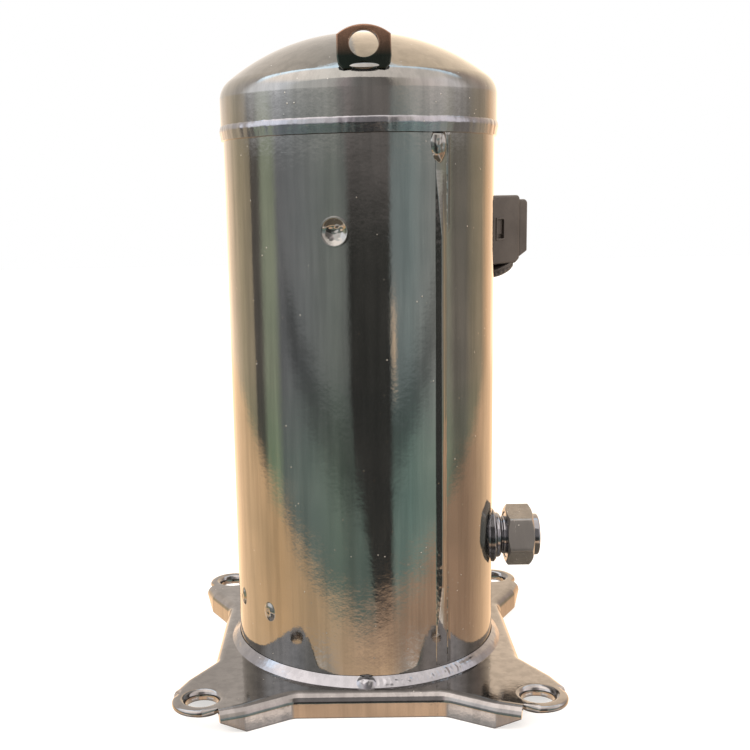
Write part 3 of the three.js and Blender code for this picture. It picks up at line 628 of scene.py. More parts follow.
def seam_height(across, z):
    """Height of the lengthwise weld over the shell: a steep left side, a crest, a stepped right side."""
    grow = max(0.0, min(1.0, (312.0 - z) / 36.0, (z - 40.0) / 30.0))
    left = -1.5 + 0.12 * ripple(1.0, z * 0.12, 3.0)
    crest = left + 0.4 + 3.1 * grow + 0.12 * ripple(5.0, z * 0.1, 1.0)
    right = 6.8 + 0.3 * ripple(9.0, z * 0.12, 7.0)
    tall = 0.35 + 1.55 * grow
    if across <= left:
        return BURIED
    if across < crest:
        rise = (across - left) / (crest - left)
        return tall * rise + 0.04 * ripple(across * 1.5, z * 0.4, 0.0)
    fall = min(1.0, (across - crest) / (right - crest))
    step = 0.3 * grow * max(0.0, min(1.0, (4.5 - across) / 0.8))
    body = (tall - 0.3 * grow) * (1 - fall) ** 0.9 + step
    lip = (1 - grow) * max(0.0, min((across - right) / 0.6, (9.6 - across) / 2.4, 1.0))
    height = body + 0.4 * lip
    return height if height > 0.01 else BURIED


def drip_height(across, z):
    """Height of the run of weld metal at the seam's top end."""
    x = (across - 1.2) / 5.2
    up = (z - 325.4) / 9.3
    r = math.hypot(x * (1.0 - 0.18 * up), up)
    if r >= 1:
        return BURIED
    return 2.5 * (1 - r ** 3) ** 0.8 * (1 + 0.16 * ripple(x * 2.5, up * 2.5, 9.0))


def make_seam(look):
    low, high = (c.z for c in span("shell_seam_weld"))
    heights = refined(low, high, 0.55, 0.55, [])
    acrosses = [-4.6 + 0.3 * k for k in range(49)]
    root = SHELL_R - 0.9
    rings = []
    for z in heights:
        ends = min(1.0, (z - low) / 1.5, (high - z) / 1.5)
        row = []
        for across in acrosses:
            height = max(seam_height(across, z), drip_height(across, z))
            angle = math.radians(SEAM_AZIMUTH) + across / SHELL_R
            r = SHELL_R + (height if height < 0 else height * ends)
            row.append(Vector((r * math.cos(angle), r * math.sin(angle), z)))
        under = []
        for across in (acrosses[-1], acrosses[0]):
            angle = math.radians(SEAM_AZIMUTH) + across / SHELL_R
            under.append(Vector((root * math.cos(angle), root * math.sin(angle), z)))
        rings.append(row + under)
    bm = bmesh.new()
    loft(bm, rings, capped=True)
    obj = to_object("seam_bead", tidied(bm), look["black_enamel"], 50.0)
    return finish_piece(obj, "housing", "black_enamel", "shell_seam_weld")


def crown_centre():
    """Height of the crown's centre, where the crown meets the knuckle smoothly, and the crown's radius."""
    rho = CAP_R - KNUCKLE_R
    reach = CAP_HIGH.z - KNUCKLE_R
    z = (reach ** 2 - rho ** 2 - KNUCKLE_Z ** 2) / (2 * (reach - KNUCKLE_Z))
    return z, CAP_HIGH.z - z


def cap_profile(inset, knuckle_steps, crown_steps):
    """The cap's wall from its straight part up to the axis, moved inward by inset."""
    centre, radius = crown_centre()
    rho = CAP_R - KNUCKLE_R
    end = math.degrees(math.atan2(KNUCKLE_Z - centre, rho))
    knuckle = arc(rho, KNUCKLE_Z, KNUCKLE_R - inset, 0, end, knuckle_steps)
    crown = arc(0, centre, radius - inset, end, 90, crown_steps)[1:]
    return [(p.x, p.y) for p in knuckle + crown]


def make_cap(look):
    low = CAP_LOW.z
    lip = [(CAP_R - CAP_WALL, low), (CAP_R - 0.8, low), (CAP_R - 0.25, low + 0.25), (CAP_R, low + 0.8)]
    wall = [(CAP_R, low + 3 * k) for k in range(1, 6)]
    inside = cap_profile(CAP_WALL, 6, 10)[::-1]
    profile = lip + wall + cap_profile(0, 18, 26)
    profile[-1] = (0, profile[-1][1])
    inside[0] = (0, inside[0][1])
    obj = to_object("cap_dome", lathe(profile + inside, 192), look["black_enamel"], 50.0)
    cut(obj, joined((round_bar(8.4, 60, 95, 48), outward_matrix(90, DISCHARGE_Z))))
    return finish_piece(obj, "housing", "black_enamel", "top_cap")


def make_cap_weld(look):
    """The weld round the cap's rim: a steep upper side, a crest, and a long, gently sloping lower side."""
    low, high = span("top_cap_weld")
    proud = 0.84 * (high.x - SHELL_R)
    crest = (low.z + high.z) / 2 + 2.3
    rise, fall = 4.4, 5.6              # reach of the bead above and below its crest
    crest_step, last_step = 6, 18

    def section_at(azimuth):
        wander = 0.25 * ripple(azimuth * 0.11, 2.0, 0.0)
        swell = 1 + 0.1 * ripple(azimuth * 0.35, 0.0, 5.0)
        section = []
        for k in range(last_step + 1):
            a = math.pi / 2 * (1 - k / crest_step)
            phase = azimuth / 1.35 + 0.5 * math.cos(a) ** 2
            scale = 0.05 * (phase - math.floor(phase)) + 0.07 * ripple(azimuth * 1.9, a * 2, 1.0)
            if k <= crest_step:
                r = SHELL_R + BURIED + (proud - BURIED) * swell * math.cos(a) ** 0.8
                z = crest + rise * math.sin(a)
            else:
                past = (k - crest_step) / (last_step - crest_step)
                r = SHELL_R + proud * swell * (1 - 0.4 * past) - 1.3 * max(0.0, past - 0.93) / 0.07
                z = crest - fall * past
            if k < last_step:
                r += scale * max(0.2, math.cos(a))
            section.append((r, z + wander))
        return section[::-1]

    azimuths = [0.6 * k for k in range(600)]
    obj = to_object("cap_bead", swept_round(section_at, azimuths), look["weld_enamel_painted_sheen"], 38.0)
    return finish_piece(obj, "housing", "black_enamel", "top_cap_weld")


def make_bottom_cap(look):
    low, high = span("bottom_cap")
    r = high.x
    outer = rounded([(0, low.z, 0), (40, low.z + 1.1, 30), (66, low.z + 3.7, 20), (r - 4, low.z + 6.5, 6),
                     (r, low.z + 10.5, 4), (r, high.z, 0.6), (r - 3, high.z, 0.6), (r - 3, low.z + 11.3, 3),
                     (65, low.z + 6.6, 20), (40, low.z + 4.1, 30), (0, low.z + 3, 0)], closed=False)
    obj = to_object("lower_dish", lathe([(p.x, p.y) for p in outer], 128), look["black_enamel"])
    return finish_piece(obj, "housing", "black_enamel", "bottom_cap")


# ---- base plate ------------------------------------------------------------------------------------

def skirt_path():
    """Outer face of one skirt in plan, from its left end to its right end, seen from outside."""
    middle = (-PLATE_LOW.x - SKIRT_INSET) / SKIRT_SPREAD
    right = [(43, middle, 12), (68.3, middle + 14.5, 12), (82, middle + 19.5, 0)]
    corners = [(-x, y, r) for x, y, r in reversed(right)] + right
    return rounded([(x * SKIRT_SPREAD, y * SKIRT_SPREAD, r) for x, y, r in corners], closed=False, step=5.0)


def skirt_floor(x):
    """Height of the skirt's lower edge above the floor, which rises towards its ends."""
    return max(0.0, (abs(x) - 70.3) / 13.7) * SKIRT_RISE


def skirt_section(point, normal):
    """A skirt's section at one point of its path: the bend, the outside, the lower edge, the inside."""
    low = min(skirt_floor(point.x), PLATE_TOP - BEND_R - 1.0)
    bend = arc(-BEND_R, PLATE_TOP - BEND_R, BEND_R, 90, 0, 8)
    outside = [Vector((0, low + 0.7)), Vector((-0.2, low + 0.2)), Vector((-0.7, low))]
    inside = [Vector((-2.3, low)), Vector((-2.8, low + 0.2)), Vector((-PLATE_WALL, low + 0.7))]
    back = arc(-BEND_R, PLATE_TOP - BEND_R, BEND_R - PLATE_WALL, 0, 90, 5)
    section = bend + outside + inside + back
    return [Vector((*(point + normal * p.x), p.y)) for p in section]


def foot_edge():
    """Edge rows of a foot's rim: rounded over and turned down a little."""
    top, low = PLATE_TOP, PLATE_TOP - PLATE_WALL
    return [(-3.2, top), (-2.2, top - 0.1), (-1.2, top - 0.4), (-0.4, top - 0.9), (0, top - 1.7),
            (0, low - 0.3), (-0.25, low - 0.7), (-0.8, low - 0.9), (-1.6, low - 0.9), (-2.1, low - 0.7),
            (-2.5, low - 0.3), (-3.4, low)]


def hole_edge():
    """Edge rows of a foot's hole: the plate drawn down into a short collar."""
    top, low = PLATE_TOP, PLATE_TOP - PLATE_WALL
    turn = (0, 0.3, 0.6, 0.9, 1.25, math.pi / 2)
    mouth = [(-3.4 + 3.4 * math.sin(a), top - 3.4 * (1 - math.cos(a))) for a in turn]
    return mouth + [(0, 9.0), (-0.2, 8.6), (-0.6, 8.4), (-2.0, 8.4), (-2.4, 8.6), (-2.6, 9.0), (-2.6, 10.6),
                    (-3.0, 11.6), (-4.0, low)]


def quarter(line, turn):
    """The line turned clockwise by a number of quarter turns."""
    return [Matrix.Rotation(-turn * math.pi / 2, 2) @ p for p in line]


def make_base_plate(look):
    path = skirt_path()
    normals = outward(path, closed=False)
    joint = [point - normal * BEND_R for point, normal in zip(path, normals)]
    foot = arc(FOOT_AT, FOOT_AT, FOOT_R, 98, -8, 26)
    outline = []
    weights = []
    skirts = []
    for turn in range(4):
        outline += quarter(joint, turn) + quarter(foot, turn)
        weights += [0.0] * len(joint) + whole(foot)
        bm = bmesh.new()
        loft(bm, [skirt_section(point, normal) for point, normal in zip(path, normals)], capped=True)
        skirts.append((tidied(bm), Matrix.Rotation(-turn * math.pi / 2, 4, "Z")))
    top, low = PLATE_TOP, PLATE_TOP - PLATE_WALL
    bore = anticlockwise(arc(0, 0, SHELL_R + 0.3, 0, 357.5, 143))
    loops = [(outline, weights, foot_edge()), (bore, whole(bore), [(0, top), (0, low)])]
    for x in (-FOOT_AT, FOOT_AT):
        for y in (-FOOT_AT, FOOT_AT):
            hole = anticlockwise(arc(x, y, FOOT_HOLE_R, 0, 352.5, 47))
            loops.append((hole, whole(hole), hole_edge()))
    obj = to_object("mounting_plate", joined(slab(loops), *skirts), look["plate_enamel"])
    return finish_piece(obj, "housing", "black_enamel", "base_plate")


BLOB_AZIMUTH = -91.0                   # where the base weld starts and stops
LAP_AZIMUTH = -50.0                    # where a second pass begins


def base_weld_surface(azimuth, share):
    """Extra height of the base weld at an azimuth; share runs from its upper toe to its lower toe."""
    past = angle_apart(azimuth, BLOB_AZIMUTH)
    middle = math.sin(math.pi * share)
    scales = 0.2 * math.sin(azimuth * 2.6 - 2.2 * middle) + 0.9 * ripple(azimuth * 0.36, share * 2.2, 2.0)
    rough = 0.75 if 0 < past < 42 else 0.1
    height = rough * scales * middle + 0.18 * ripple(azimuth * 0.2, share * 2.0, 6.0) * middle
    across = math.radians(past) * SHELL_R / 5.6
    up = (share - 0.5) / 0.66
    r = math.hypot(across, up)
    if r < 1:
        pocks = math.exp(-(((across + 0.3) / 0.16) ** 2 + (up / 0.26) ** 2))
        height += 2.0 * (1 - r ** 3) - 0.8 * pocks
    lap = angle_apart(azimuth, LAP_AZIMUTH)
    if 0 < lap < 60:
        height += 0.7 * min(1.0, lap / 0.8) * (1 - lap / 60) * middle
    return height


def make_base_weld(look):
    """The fillet weld between the shell and the base plate."""
    high = span("base_weld")[1]
    floor = PLATE_TOP - 0.2
    reach = high.x - SHELL_R
    tall = high.z - floor
    root = SHELL_R - 0.3
    under = [(SHELL_R + reach * 0.7, floor - 0.5), (root, floor - 0.5), (root, high.z - 1)]

    def section_at(azimuth):
        wander = 1 + 0.06 * ripple(azimuth * 0.07, 0.0, 1.0)
        section = []
        for k in range(17):
            share = k / 16
            a = math.pi / 2 * share
            belly = 0.93 / (math.sin(a) + math.cos(a)) ** 0.9
            extra = base_weld_surface(azimuth, share)
            r = SHELL_R + (reach * math.sin(a) * belly + 0.35) * wander + extra * 0.6
            z = floor + tall * math.cos(a) * belly * wander + extra * 0.75 * math.sin(math.pi * share)
            section.append((r, z))
        return section + under

    azimuths = refined(-180.0, 180.0, 0.8, 0.3, [(-70.0, 26.0)])[:-1]
    obj = to_object("base_bead", swept_round(section_at, azimuths), look["weld_enamel_painted_sheen"], 60.0)
    return finish_piece(obj, "housing", "black_enamel", "base_weld")


# ---- lifting eye -----------------------------------------------------------------------------------

EYE_HALF = 14.8
EYE_TALL = 24.9
EYE_CROWN = 5.7                        # how far the eye's round top rises over its shoulders
EYE_WALL = 3.0
EYE_HOLE_R = 8.0
EYE_HOLE_Z = 14.1
EYE_LEAN = 17.0                        # degrees it leans back
EYE_SKEW = 1.7                         # degrees it stands to the right of the front


def eye_outline():
    """The eye's outline on its own plane: two sides, a round top, and an arch between its two feet."""
    half = EYE_HALF
    crown_r = (half ** 2 + EYE_CROWN ** 2) / (2 * EYE_CROWN)
    spread = math.degrees(math.asin(half / crown_r))
    crown = arc(0, EYE_TALL - crown_r, crown_r, 90 + spread - 3, 90 - spread + 3, 20)
    left = rounded([(-half + 3.4, -0.4, 0), (-half + 0.7, 2.6, 1.5), (-half, 7.0, 4),
                    (-half, EYE_TALL - EYE_CROWN, 0)], closed=False)
    right = [Vector((-p.x, p.y)) for p in reversed(left)]
    arch_half, arch_tall = 7.6, 3.6
    shares = [1 - 2 * k / 12 for k in range(13)]
    arch = [Vector((arch_half * s, arch_tall * (1 - s ** 2) - 0.4)) for s in shares]
    return clockwise(left + crown + right + arch)


def make_lifting_eye(look):
    outline = eye_outline()
    hole = anticlockwise(arc(0, EYE_HOLE_Z, EYE_HOLE_R, 0, 352.5, 47))
    rim = soft_edge(0.8, EYE_WALL / 2, -EYE_WALL / 2)
    mouth = soft_edge(0.45, EYE_WALL / 2, -EYE_WALL / 2)
    bm = slab([(outline, whole(outline), rim), (hole, whole(hole), mouth)])
    foot_at = Matrix.Translation((0, -79.3, CAP_HIGH.z - 28.9))
    lean = Matrix.Rotation(math.radians(90 - EYE_LEAN), 4, "X")
    place = Matrix.Rotation(math.radians(EYE_SKEW), 4, "Z") @ foot_at @ lean
    bm.transform(place)
    obj = to_object("lifting_lug", bm, look["eye_enamel_painted_reflection"])
    make_eye_weld(place, look)
    return finish_piece(obj, "housing", "black_enamel", "lifting_eye")


def make_eye_weld(place, look):
    """The fillet of weld metal under the eye's arch, between its two feet."""
    front = EYE_WALL / 2
    half = 7.9
    belly = ((0.5, 0.45), (1.5, 0.95), (2.6, 1.3), (3.4, 1.4))
    rings = []
    for k in range(25):
        x = -half + 2 * half * k / 24
        size = math.sqrt(max(0.02, 1 - (x / 8.0) ** 2))
        high = 1.2 + 1.9 * size
        section = [(high, front - 0.2)]
        section += [(high - down * size, front + out * size) for down, out in belly]
        section += [(high - 4.2 * size, front - 0.2), (high - 2.0 * size, front - 1.6)]
        rings.append([Vector((x, up, out)) for up, out in section])
    bm = bmesh.new()
    loft(bm, rings, capped=True)
    bm.transform(place)
    obj = to_object("lug_weld", tidied(bm), look["black_enamel"], 60.0)
    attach(obj, "housing")
    return obj


# ---- fittings --------------------------------------------------------------------------------------

def hex_nut(across, low, high, bore_r, rim_r, lip_z):
    """A chamfered hexagon nut, six flats of half-width across, with a counterbore below a lip."""
    bm = bmesh.new()
    corner = across / math.cos(math.pi / 6)
    cone = 0.58
    start = across - 0.4
    rings = []
    for k in range(96):
        a = TURN * k / 96
        flat = across / math.cos((a + math.pi / 6) % (math.pi / 3) - math.pi / 6)
        flat = min(flat, corner - 0.35)
        drop = max(0.0, flat - start) * cone
        profile = [(rim_r, high - 0.5), (rim_r + 0.5, high), (start, high), (flat, high - drop),
                   (flat, low + drop), (start, low), (bore_r + 0.5, low), (bore_r, low + 0.5),
                   (bore_r, lip_z), (rim_r, lip_z)]
        rings.append([Vector((r * math.cos(a), r * math.sin(a), z)) for r, z in profile])
    loft(bm, rings, closed_path=True)
    return tidied(bm)


def spud_profile(d):
    """The spud from its inner end out: a flange, a ring, a waist with a second ring, and the thread."""
    root, neck, flare, ring, waist = d["root"], d["neck"], d["flare"], d["ring"], d["waist"]
    shape = [(d["bore"], d["inside"], 0), (d["spud"], d["inside"], 0.4), (d["spud"], root - 3, 0),
             (flare - 1, root - 3.4, 0), (flare, root - 0.7, 0.6), (flare - 1, root + 0.5, 0.6),
             (ring, root + 1.0, 0.4), (ring + 0.3, root + 2.4, 0.9), (ring - 0.3, root + 3.7, 0.7),
             (waist - 0.4, root + 4.3, 0.5), (waist - 0.4, root + 4.9, 0.4), (waist + 0.4, root + 5.5, 0.6),
             (waist + 0.4, root + 6.7, 0.5), (waist, root + 7.3, 0.3)]
    pitch = 1.4
    z = root + 7.9
    while z < d["end"] - 1.2:
        shape += [(neck, z, 0), (neck - 0.55, z + pitch / 2, 0)]
        z += pitch
    shape += [(neck - 0.5, d["end"], 0.3), (d["bore"], d["end"], 0.4)]
    return [(p.x, p.y) for p in rounded(shape)]


def make_fitting(name, azimuth, height, d, look):
    """A spud with its thread, a closing plug and the nut over it, all along one radial axis."""
    place = outward_matrix(azimuth, height)
    spud = to_object(f"{name}_stub", joined((lathe(spud_profile(d), 96), place)), look["weld_enamel_painted_sheen"])
    finish_piece(spud, "housing", "dark_steel", f"{name}_spud")
    end, boss, out = d["end"], d["boss"], d["out"]
    plug_shape = rounded([(0, end + 1.8, 0), (d["neck"], end + 1.8, 0.3), (d["neck"], end + 3.4, 0.3),
                          (boss, end + 3.4, 0.4), (boss, out, 1.3), (boss * 0.45, out, 0.6),
                          (boss * 0.4, out - 0.7, 0.4), (0, out - 0.7, 0)])
    plug = to_object(f"{name}_stopper", joined((lathe([(p.x, p.y) for p in plug_shape], 96), place)),
                     look["weld_enamel_painted_sheen"])
    finish_piece(plug, "housing", "dark_steel", f"{name}_plug")
    nut = hex_nut(d["hex"], d["nut_in"], d["nut_out"], d["neck"] + 0.5, boss + 0.5, end + 3.7)
    turn = Matrix.Rotation(math.radians(d["turn"]), 4, "Z")
    cap = to_object(f"{name}_hex", joined((nut, place @ turn)), look["fitting_enamel"])
    softened(cap, 0.35)
    return finish_piece(cap, f"{name}_cap_nut", "dark_steel", f"{name}_nut")


# Radii, then distances out from the shell's axis, then the nut's half-width across its flats and its turn.
SUCTION = {"bore": 9.5, "spud": 15, "flare": 17.6, "ring": 14.3, "waist": 12, "neck": 14.2, "boss": 13.4,
           "inside": 76, "root": 84.3, "nut_in": 91.7, "end": 103.2, "nut_out": 108.6, "out": 113,
           "hex": 17.5, "turn": 15.8}
DISCHARGE = {"bore": 5.5, "spud": 8, "flare": 11.4, "ring": 9.6, "waist": 8.4, "neck": 10.4, "boss": 8.2,
             "inside": 78, "root": 86.5, "nut_in": 95, "end": 104.6, "nut_out": 110.4, "out": 113.2,
             "hex": 13.5, "turn": 0}


# ---- terminal box ----------------------------------------------------------------------------------

BOX_HALF = 33.0
BOX_HIGH = 21.5
BOX_FACE = 112.6                       # where the cover meets the box, out from the shell's axis
BOX_WALL = 2.4
KEEL_X = 109.0                         # where the underside starts to slope up
COVER_OUT = 121.6
COVER_WALL = 2.6
GLAND_AT = (101.0, -19.0)              # the cable entry's centre in the box's floor


def box_matrix():
    """Box axes: X out of the shell, Y along the box, Z up, from the terminal's centre."""
    return Matrix.Translation((0, 0, TERMINAL_Z)) @ Matrix.Rotation(math.radians(TERMINAL_AZIMUTH), 4, "Z")


def across_box(line, half, edge_r):
    """A side view of the box, extruded along its length with rounded rims."""
    side = clockwise(line)
    bm = slab([(side, whole(side), soft_edge(edge_r, half, -half))])
    bm.transform(Matrix.Rotation(math.pi / 2, 4, "X"))
    return bm


def keel(x, low):
    """Height of the box's underside, which slopes up towards the cover."""
    return low + 0.83 * max(0.0, x - KEEL_X)


def box_side(inset, start, end, corner):
    """Side view of the box between two distances out from the shell, moved inward by inset."""
    low = BOX_LOW + inset
    bend = [(KEEL_X, low, corner)] if start < KEEL_X else []
    return rounded([(start, keel(start, low), 0), *bend, (end, keel(end, low), corner),
                    (end, BOX_HIGH - inset, corner), (start, BOX_HIGH - inset, 0)])


def make_terminal_box(look):
    place = box_matrix()
    outer = across_box(box_side(0, 70, BOX_FACE, 2.6), BOX_HALF, 1.6)
    obj = to_object("terminal_housing", outer, look["black_plastic"])
    room = across_box(box_side(BOX_WALL, 88, BOX_FACE + 3, 1.2), BOX_HALF - BOX_WALL, 0.8)
    entrance = box_solid((60, 101), (-25, 25), (-19, 19))
    end = -BOX_HALF
    window = box_solid((88.6, 96.4), (end - 1, end + 1.1), (-6.6, 6.6))
    slot = box_solid((89.4, 95.8), (end - 1, end + 2.0), (-6.2, -3.4))
    gland = joined((round_bar(7.3, BOX_LOW - 1, BOX_LOW + 6, 48), Matrix.Translation((*GLAND_AT, 0))))
    shell = joined((round_bar(SHELL_R + 0.3, -60, 60, 192), Matrix.Rotation(0.013, 4, "Z")))
    cut(obj, room, entrance, window, slot, gland, shell)
    moved(obj, place)
    smooth_shaded(obj, 35.0)
    finish_piece(obj, "housing", "black_plastic", "terminal_box")
    return make_latch_frame(place, look)


def make_latch_frame(place, look):
    """The raised frame round the latch window, on the box's end wall."""
    outer = clockwise(rounded([(88.7, -7.6, 0.6), (97.2, -7.6, 1.2), (97.2, 7.4, 1.2), (88.7, 7.4, 0.6)]))
    inner = anticlockwise(rounded([(89.8, -6.2, 0.3), (96.0, -6.2, 0.6), (96.0, 6.2, 0.6),
                                   (89.8, 6.2, 0.3)]))
    edge = soft_edge(0.25, BOX_HALF + 0.55, BOX_HALF - 0.6)
    rim = slab([(outer, whole(outer), edge), (inner, whole(inner), edge)])
    rim.transform(place @ Matrix.Rotation(math.pi / 2, 4, "X"))
    bead = to_object("latch_frame", rim, look["black_plastic"])
    flat_faces_first(bead)
    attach(bead, "housing")
    return bead


def make_terminal_cover(look):
    """The hollow cover, with a rim that plugs into the box's open face."""
    face = BOX_FACE + 0.3
    top = BOX_HIGH - 2.8
    line = rounded([(face, BOX_LOW + 3.4, 0), (COVER_OUT, BOX_LOW + 7.5, 1.6), (COVER_OUT, top, 3.0),
                    (face, top, 0)])
    obj = to_object("terminal_lid", across_box(line, BOX_HALF - 1.2, 1.4), look["black_plastic"])
    play = BOX_WALL + 0.3
    rim = box_side(play, BOX_FACE - 3.4, BOX_FACE + 0.8, 0)
    combined(obj, "UNION", across_box(rim, BOX_HALF - play, 0.4), look["black_plastic"])
    inset = BOX_WALL + 2.2
    hollow = box_side(inset, 90, COVER_OUT - COVER_WALL, 1.0)
    cut(obj, across_box(hollow, BOX_HALF - inset, 0.4))
    moved(obj, box_matrix())
    smooth_shaded(obj, 35.0)
    return finish_piece(obj, "box_cover", "black_plastic", "terminal_cover")


def make_cable_gland(look):
    """A ribbed cap nut under the box, around the cable's empty entry."""
    top = BOX_LOW - 0.3
    sides, ribs = 144, 24
    bm = bmesh.new()
    rings = []
    for k in range(sides):
        a = TURN * k / sides
        rib = 0.55 * (0.5 + 0.5 * math.cos(a * ribs))
        profile = [(5, top), (13.6, top), (14, top - 0.4), (14, top - 1.4), (13.6, top - 1.8),
                   (12.6, top - 2.0), (12.4 + rib, top - 2.5), (13.0 + rib, top - 3.4),
                   (12.3 + rib, top - 4.7), (10.9 + rib * 0.6, top - 5.9), (9.2, top - 6.8),
                   (5.6, top - 7.0), (5, top - 6.5)]
        rings.append([Vector((r * math.cos(a), r * math.sin(a), z)) for r, z in profile])
    loft(bm, rings, closed_path=True)
    collar = lathe([(5, top - 0.5), (7, top - 0.5), (7, top + 8.2), (6.7, top + 8.5), (5, top + 8.5)], 48)
    place = box_matrix() @ Matrix.Translation((*GLAND_AT, 0))
    lean = Matrix.Rotation(math.radians(-20), 4, "Y")
    tilt = Matrix.Translation((0, 0, top)) @ lean @ Matrix.Translation((0, 0, -top))
    obj = to_object("gland_cap", joined((tidied(bm), place @ tilt), (collar, place)), look["black_plastic"])
    return finish_piece(obj, "housing", "black_plastic", "cable_gland")


# ---- carried-over CAD nodes ------------------------------------------------------------------------

def dress_cad_nodes(look):
    """Gives every CAD node the procedural material of its own slot."""
    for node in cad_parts.values():
        slot = node.data.materials[0].name.split(".")[0]
        node.data.materials[0] = look[slot]


# ---- studio ----------------------------------------------------------------------------------------

# Colours of the surroundings by azimuth in degrees: 0 is the front, positive turns towards +X. The walls
# stand around the horizon, the sky over them, the far boards under them and the near boards below those.
WALL_STOPS = [
    (-180, (0.62, 0.43, 0.29)), (-150, (0.48, 0.36, 0.26)), (-122, (0.27, 0.22, 0.147)),
    (-108, (0.22, 0.18, 0.125)), (-103, (0.06, 0.052, 0.045)), (-95, (0.075, 0.067, 0.058)),
    (-89, (0.19, 0.205, 0.15)), (-79, (0.19, 0.205, 0.15)), (-72, (0.12, 0.12, 0.125)),
    (-50, (0.132, 0.138, 0.14)), (-22, (0.135, 0.147, 0.135)), (-12, (0.1, 0.106, 0.1)),
    (26, (0.13, 0.15, 0.15)), (40, (0.155, 0.185, 0.183)), (68, (0.2, 0.2, 0.19)),
    (78, (0.19, 0.18, 0.14)), (84, (0.12, 0.105, 0.088)), (98, (0.12, 0.105, 0.088)),
    (108, (0.18, 0.148, 0.105)), (124, (0.21, 0.165, 0.11)), (136, (0.42, 0.26, 0.15)),
    (165, (0.6, 0.41, 0.27)),
]
SKY_STOPS = [
    (-180, (0.26, 0.235, 0.21)), (-135, (0.33, 0.29, 0.25)), (-112, (0.3, 0.27, 0.25)),
    (-100, (0.56, 0.55, 0.56)), (-66, (0.6, 0.6, 0.63)), (-52, (0.45, 0.44, 0.43)),
    (-22, (0.43, 0.4, 0.38)), (-12, (0.26, 0.22, 0.22)), (-3, (0.15, 0.14, 0.135)),
    (6, (0.12, 0.11, 0.105)), (24, (0.09, 0.08, 0.075)), (33, (0.3, 0.27, 0.24)),
    (60, (0.5, 0.44, 0.42)), (86, (0.54, 0.5, 0.5)), (104, (0.24, 0.21, 0.19)),
    (122, (0.24, 0.19, 0.16)), (145, (0.4, 0.32, 0.24)),
]
NEAR_STOPS = [
    (-180, (0.5, 0.36, 0.25)), (-85, (0.4, 0.3, 0.22)), (-68, (0.27, 0.255, 0.24)),
    (-36, (0.26, 0.245, 0.23)), (-20, (0.46, 0.31, 0.2)), (20, (0.48, 0.32, 0.2)),
    (36, (0.27, 0.245, 0.225)), (68, (0.27, 0.25, 0.235)), (90, (0.33, 0.26, 0.2)),
    (150, (0.45, 0.33, 0.22)),
]
DEEP = (0.08, 0.065, 0.048)            # straight below
BOARD_STOPS = [
    (-180, (0.5, 0.34, 0.22)), (-120, (0.5, 0.33, 0.19)), (-80, (0.44, 0.28, 0.15)),
    (-27, (0.42, 0.29, 0.18)), (0, (0.33, 0.22, 0.15)), (30, (0.28, 0.18, 0.12)),
    (100, (0.25, 0.155, 0.1)), (135, (0.42, 0.27, 0.16)),
]
STUDIO_STRENGTH = 4.2


def around(nodes, azimuth, stops):
    """The colour of a list of stops at an azimuth."""
    turned = nodes.math("MULTIPLY_ADD", azimuth, 1 / 360, 0.5)
    return nodes.ramp(turned, [(0.5 + degrees / 360, color) for degrees, color in stops])


def between(nodes, value, low, high, soft):
    """1 where the value is between two limits, 0 elsewhere."""
    above = nodes.remap(nodes.math("SUBTRACT", value, low), -soft, soft)
    return nodes.math("MULTIPLY", above, nodes.remap(value, high + soft, high - soft))


def shaded_walls(nodes, azimuth, height):
    """The walls' colours, darker and greener towards the floor, with a shadow that sags in the middle."""
    across = nodes.math("DIVIDE", azimuth, 55.0)
    sag = nodes.math("MULTIPLY_ADD", nodes.math("MULTIPLY", across, across), 0.1, -0.25)
    off = nodes.math("ABSOLUTE", nodes.math("SUBTRACT", height, sag))
    shadow = nodes.remap(off, 0.01, 0.055, 0.5, 1.0)
    sides = nodes.remap(nodes.math("ABSOLUTE", azimuth), 55.0, 72.0)
    shadow = nodes.math("MAXIMUM", shadow, sides)
    green = nodes.mix(nodes.remap(height, -0.16, -0.24), (1.0, 1.0, 1.0), (0.8, 0.97, 0.86))
    tinted = nodes.product(around(nodes, azimuth, WALL_STOPS), green)
    return nodes.product(tinted, nodes.grey(shadow))


def gap_in_walls(nodes, azimuth, height, walls):
    """A dark gap in the front wall that widens towards the floor, with a thin bright streak beside it."""
    below = nodes.math("MINIMUM", nodes.math("ADD", height, 0.2), 0.0)
    left = nodes.math("MULTIPLY_ADD", below, -110.0, -11.0)
    gap = between(nodes, azimuth, left, 24.0, 2.0)
    tone = nodes.mix(nodes.remap(height, -0.05, 0.09), (0.021, 0.021, 0.019), (0.13, 0.115, 0.11))
    streak = nodes.math("MULTIPLY", between(nodes, azimuth, 24.5, 28.5, 1.0),
                        between(nodes, height, -0.165, -0.11, 0.02))
    return nodes.mix(streak, nodes.mix(gap, walls, tone), (0.5, 0.37, 0.26))


def lit_boards(nodes, azimuth, height):
    """The boards under the horizon, with a brighter patch on each side, and dark straight below."""
    boards = nodes.mix(nodes.remap(height, -0.395, -0.425), around(nodes, azimuth, BOARD_STOPS),
                       around(nodes, azimuth, NEAR_STOPS))
    side_glow = nodes.math("MULTIPLY", between(nodes, nodes.math("ABSOLUTE", azimuth), 38.0, 84.0, 4.0),
                           between(nodes, height, -0.458, -0.425, 0.014))
    glowing = nodes.mix(side_glow, boards, (0.72, 0.62, 0.54))
    return nodes.mix(nodes.remap(height, -0.5, -0.6), glowing, DEEP)


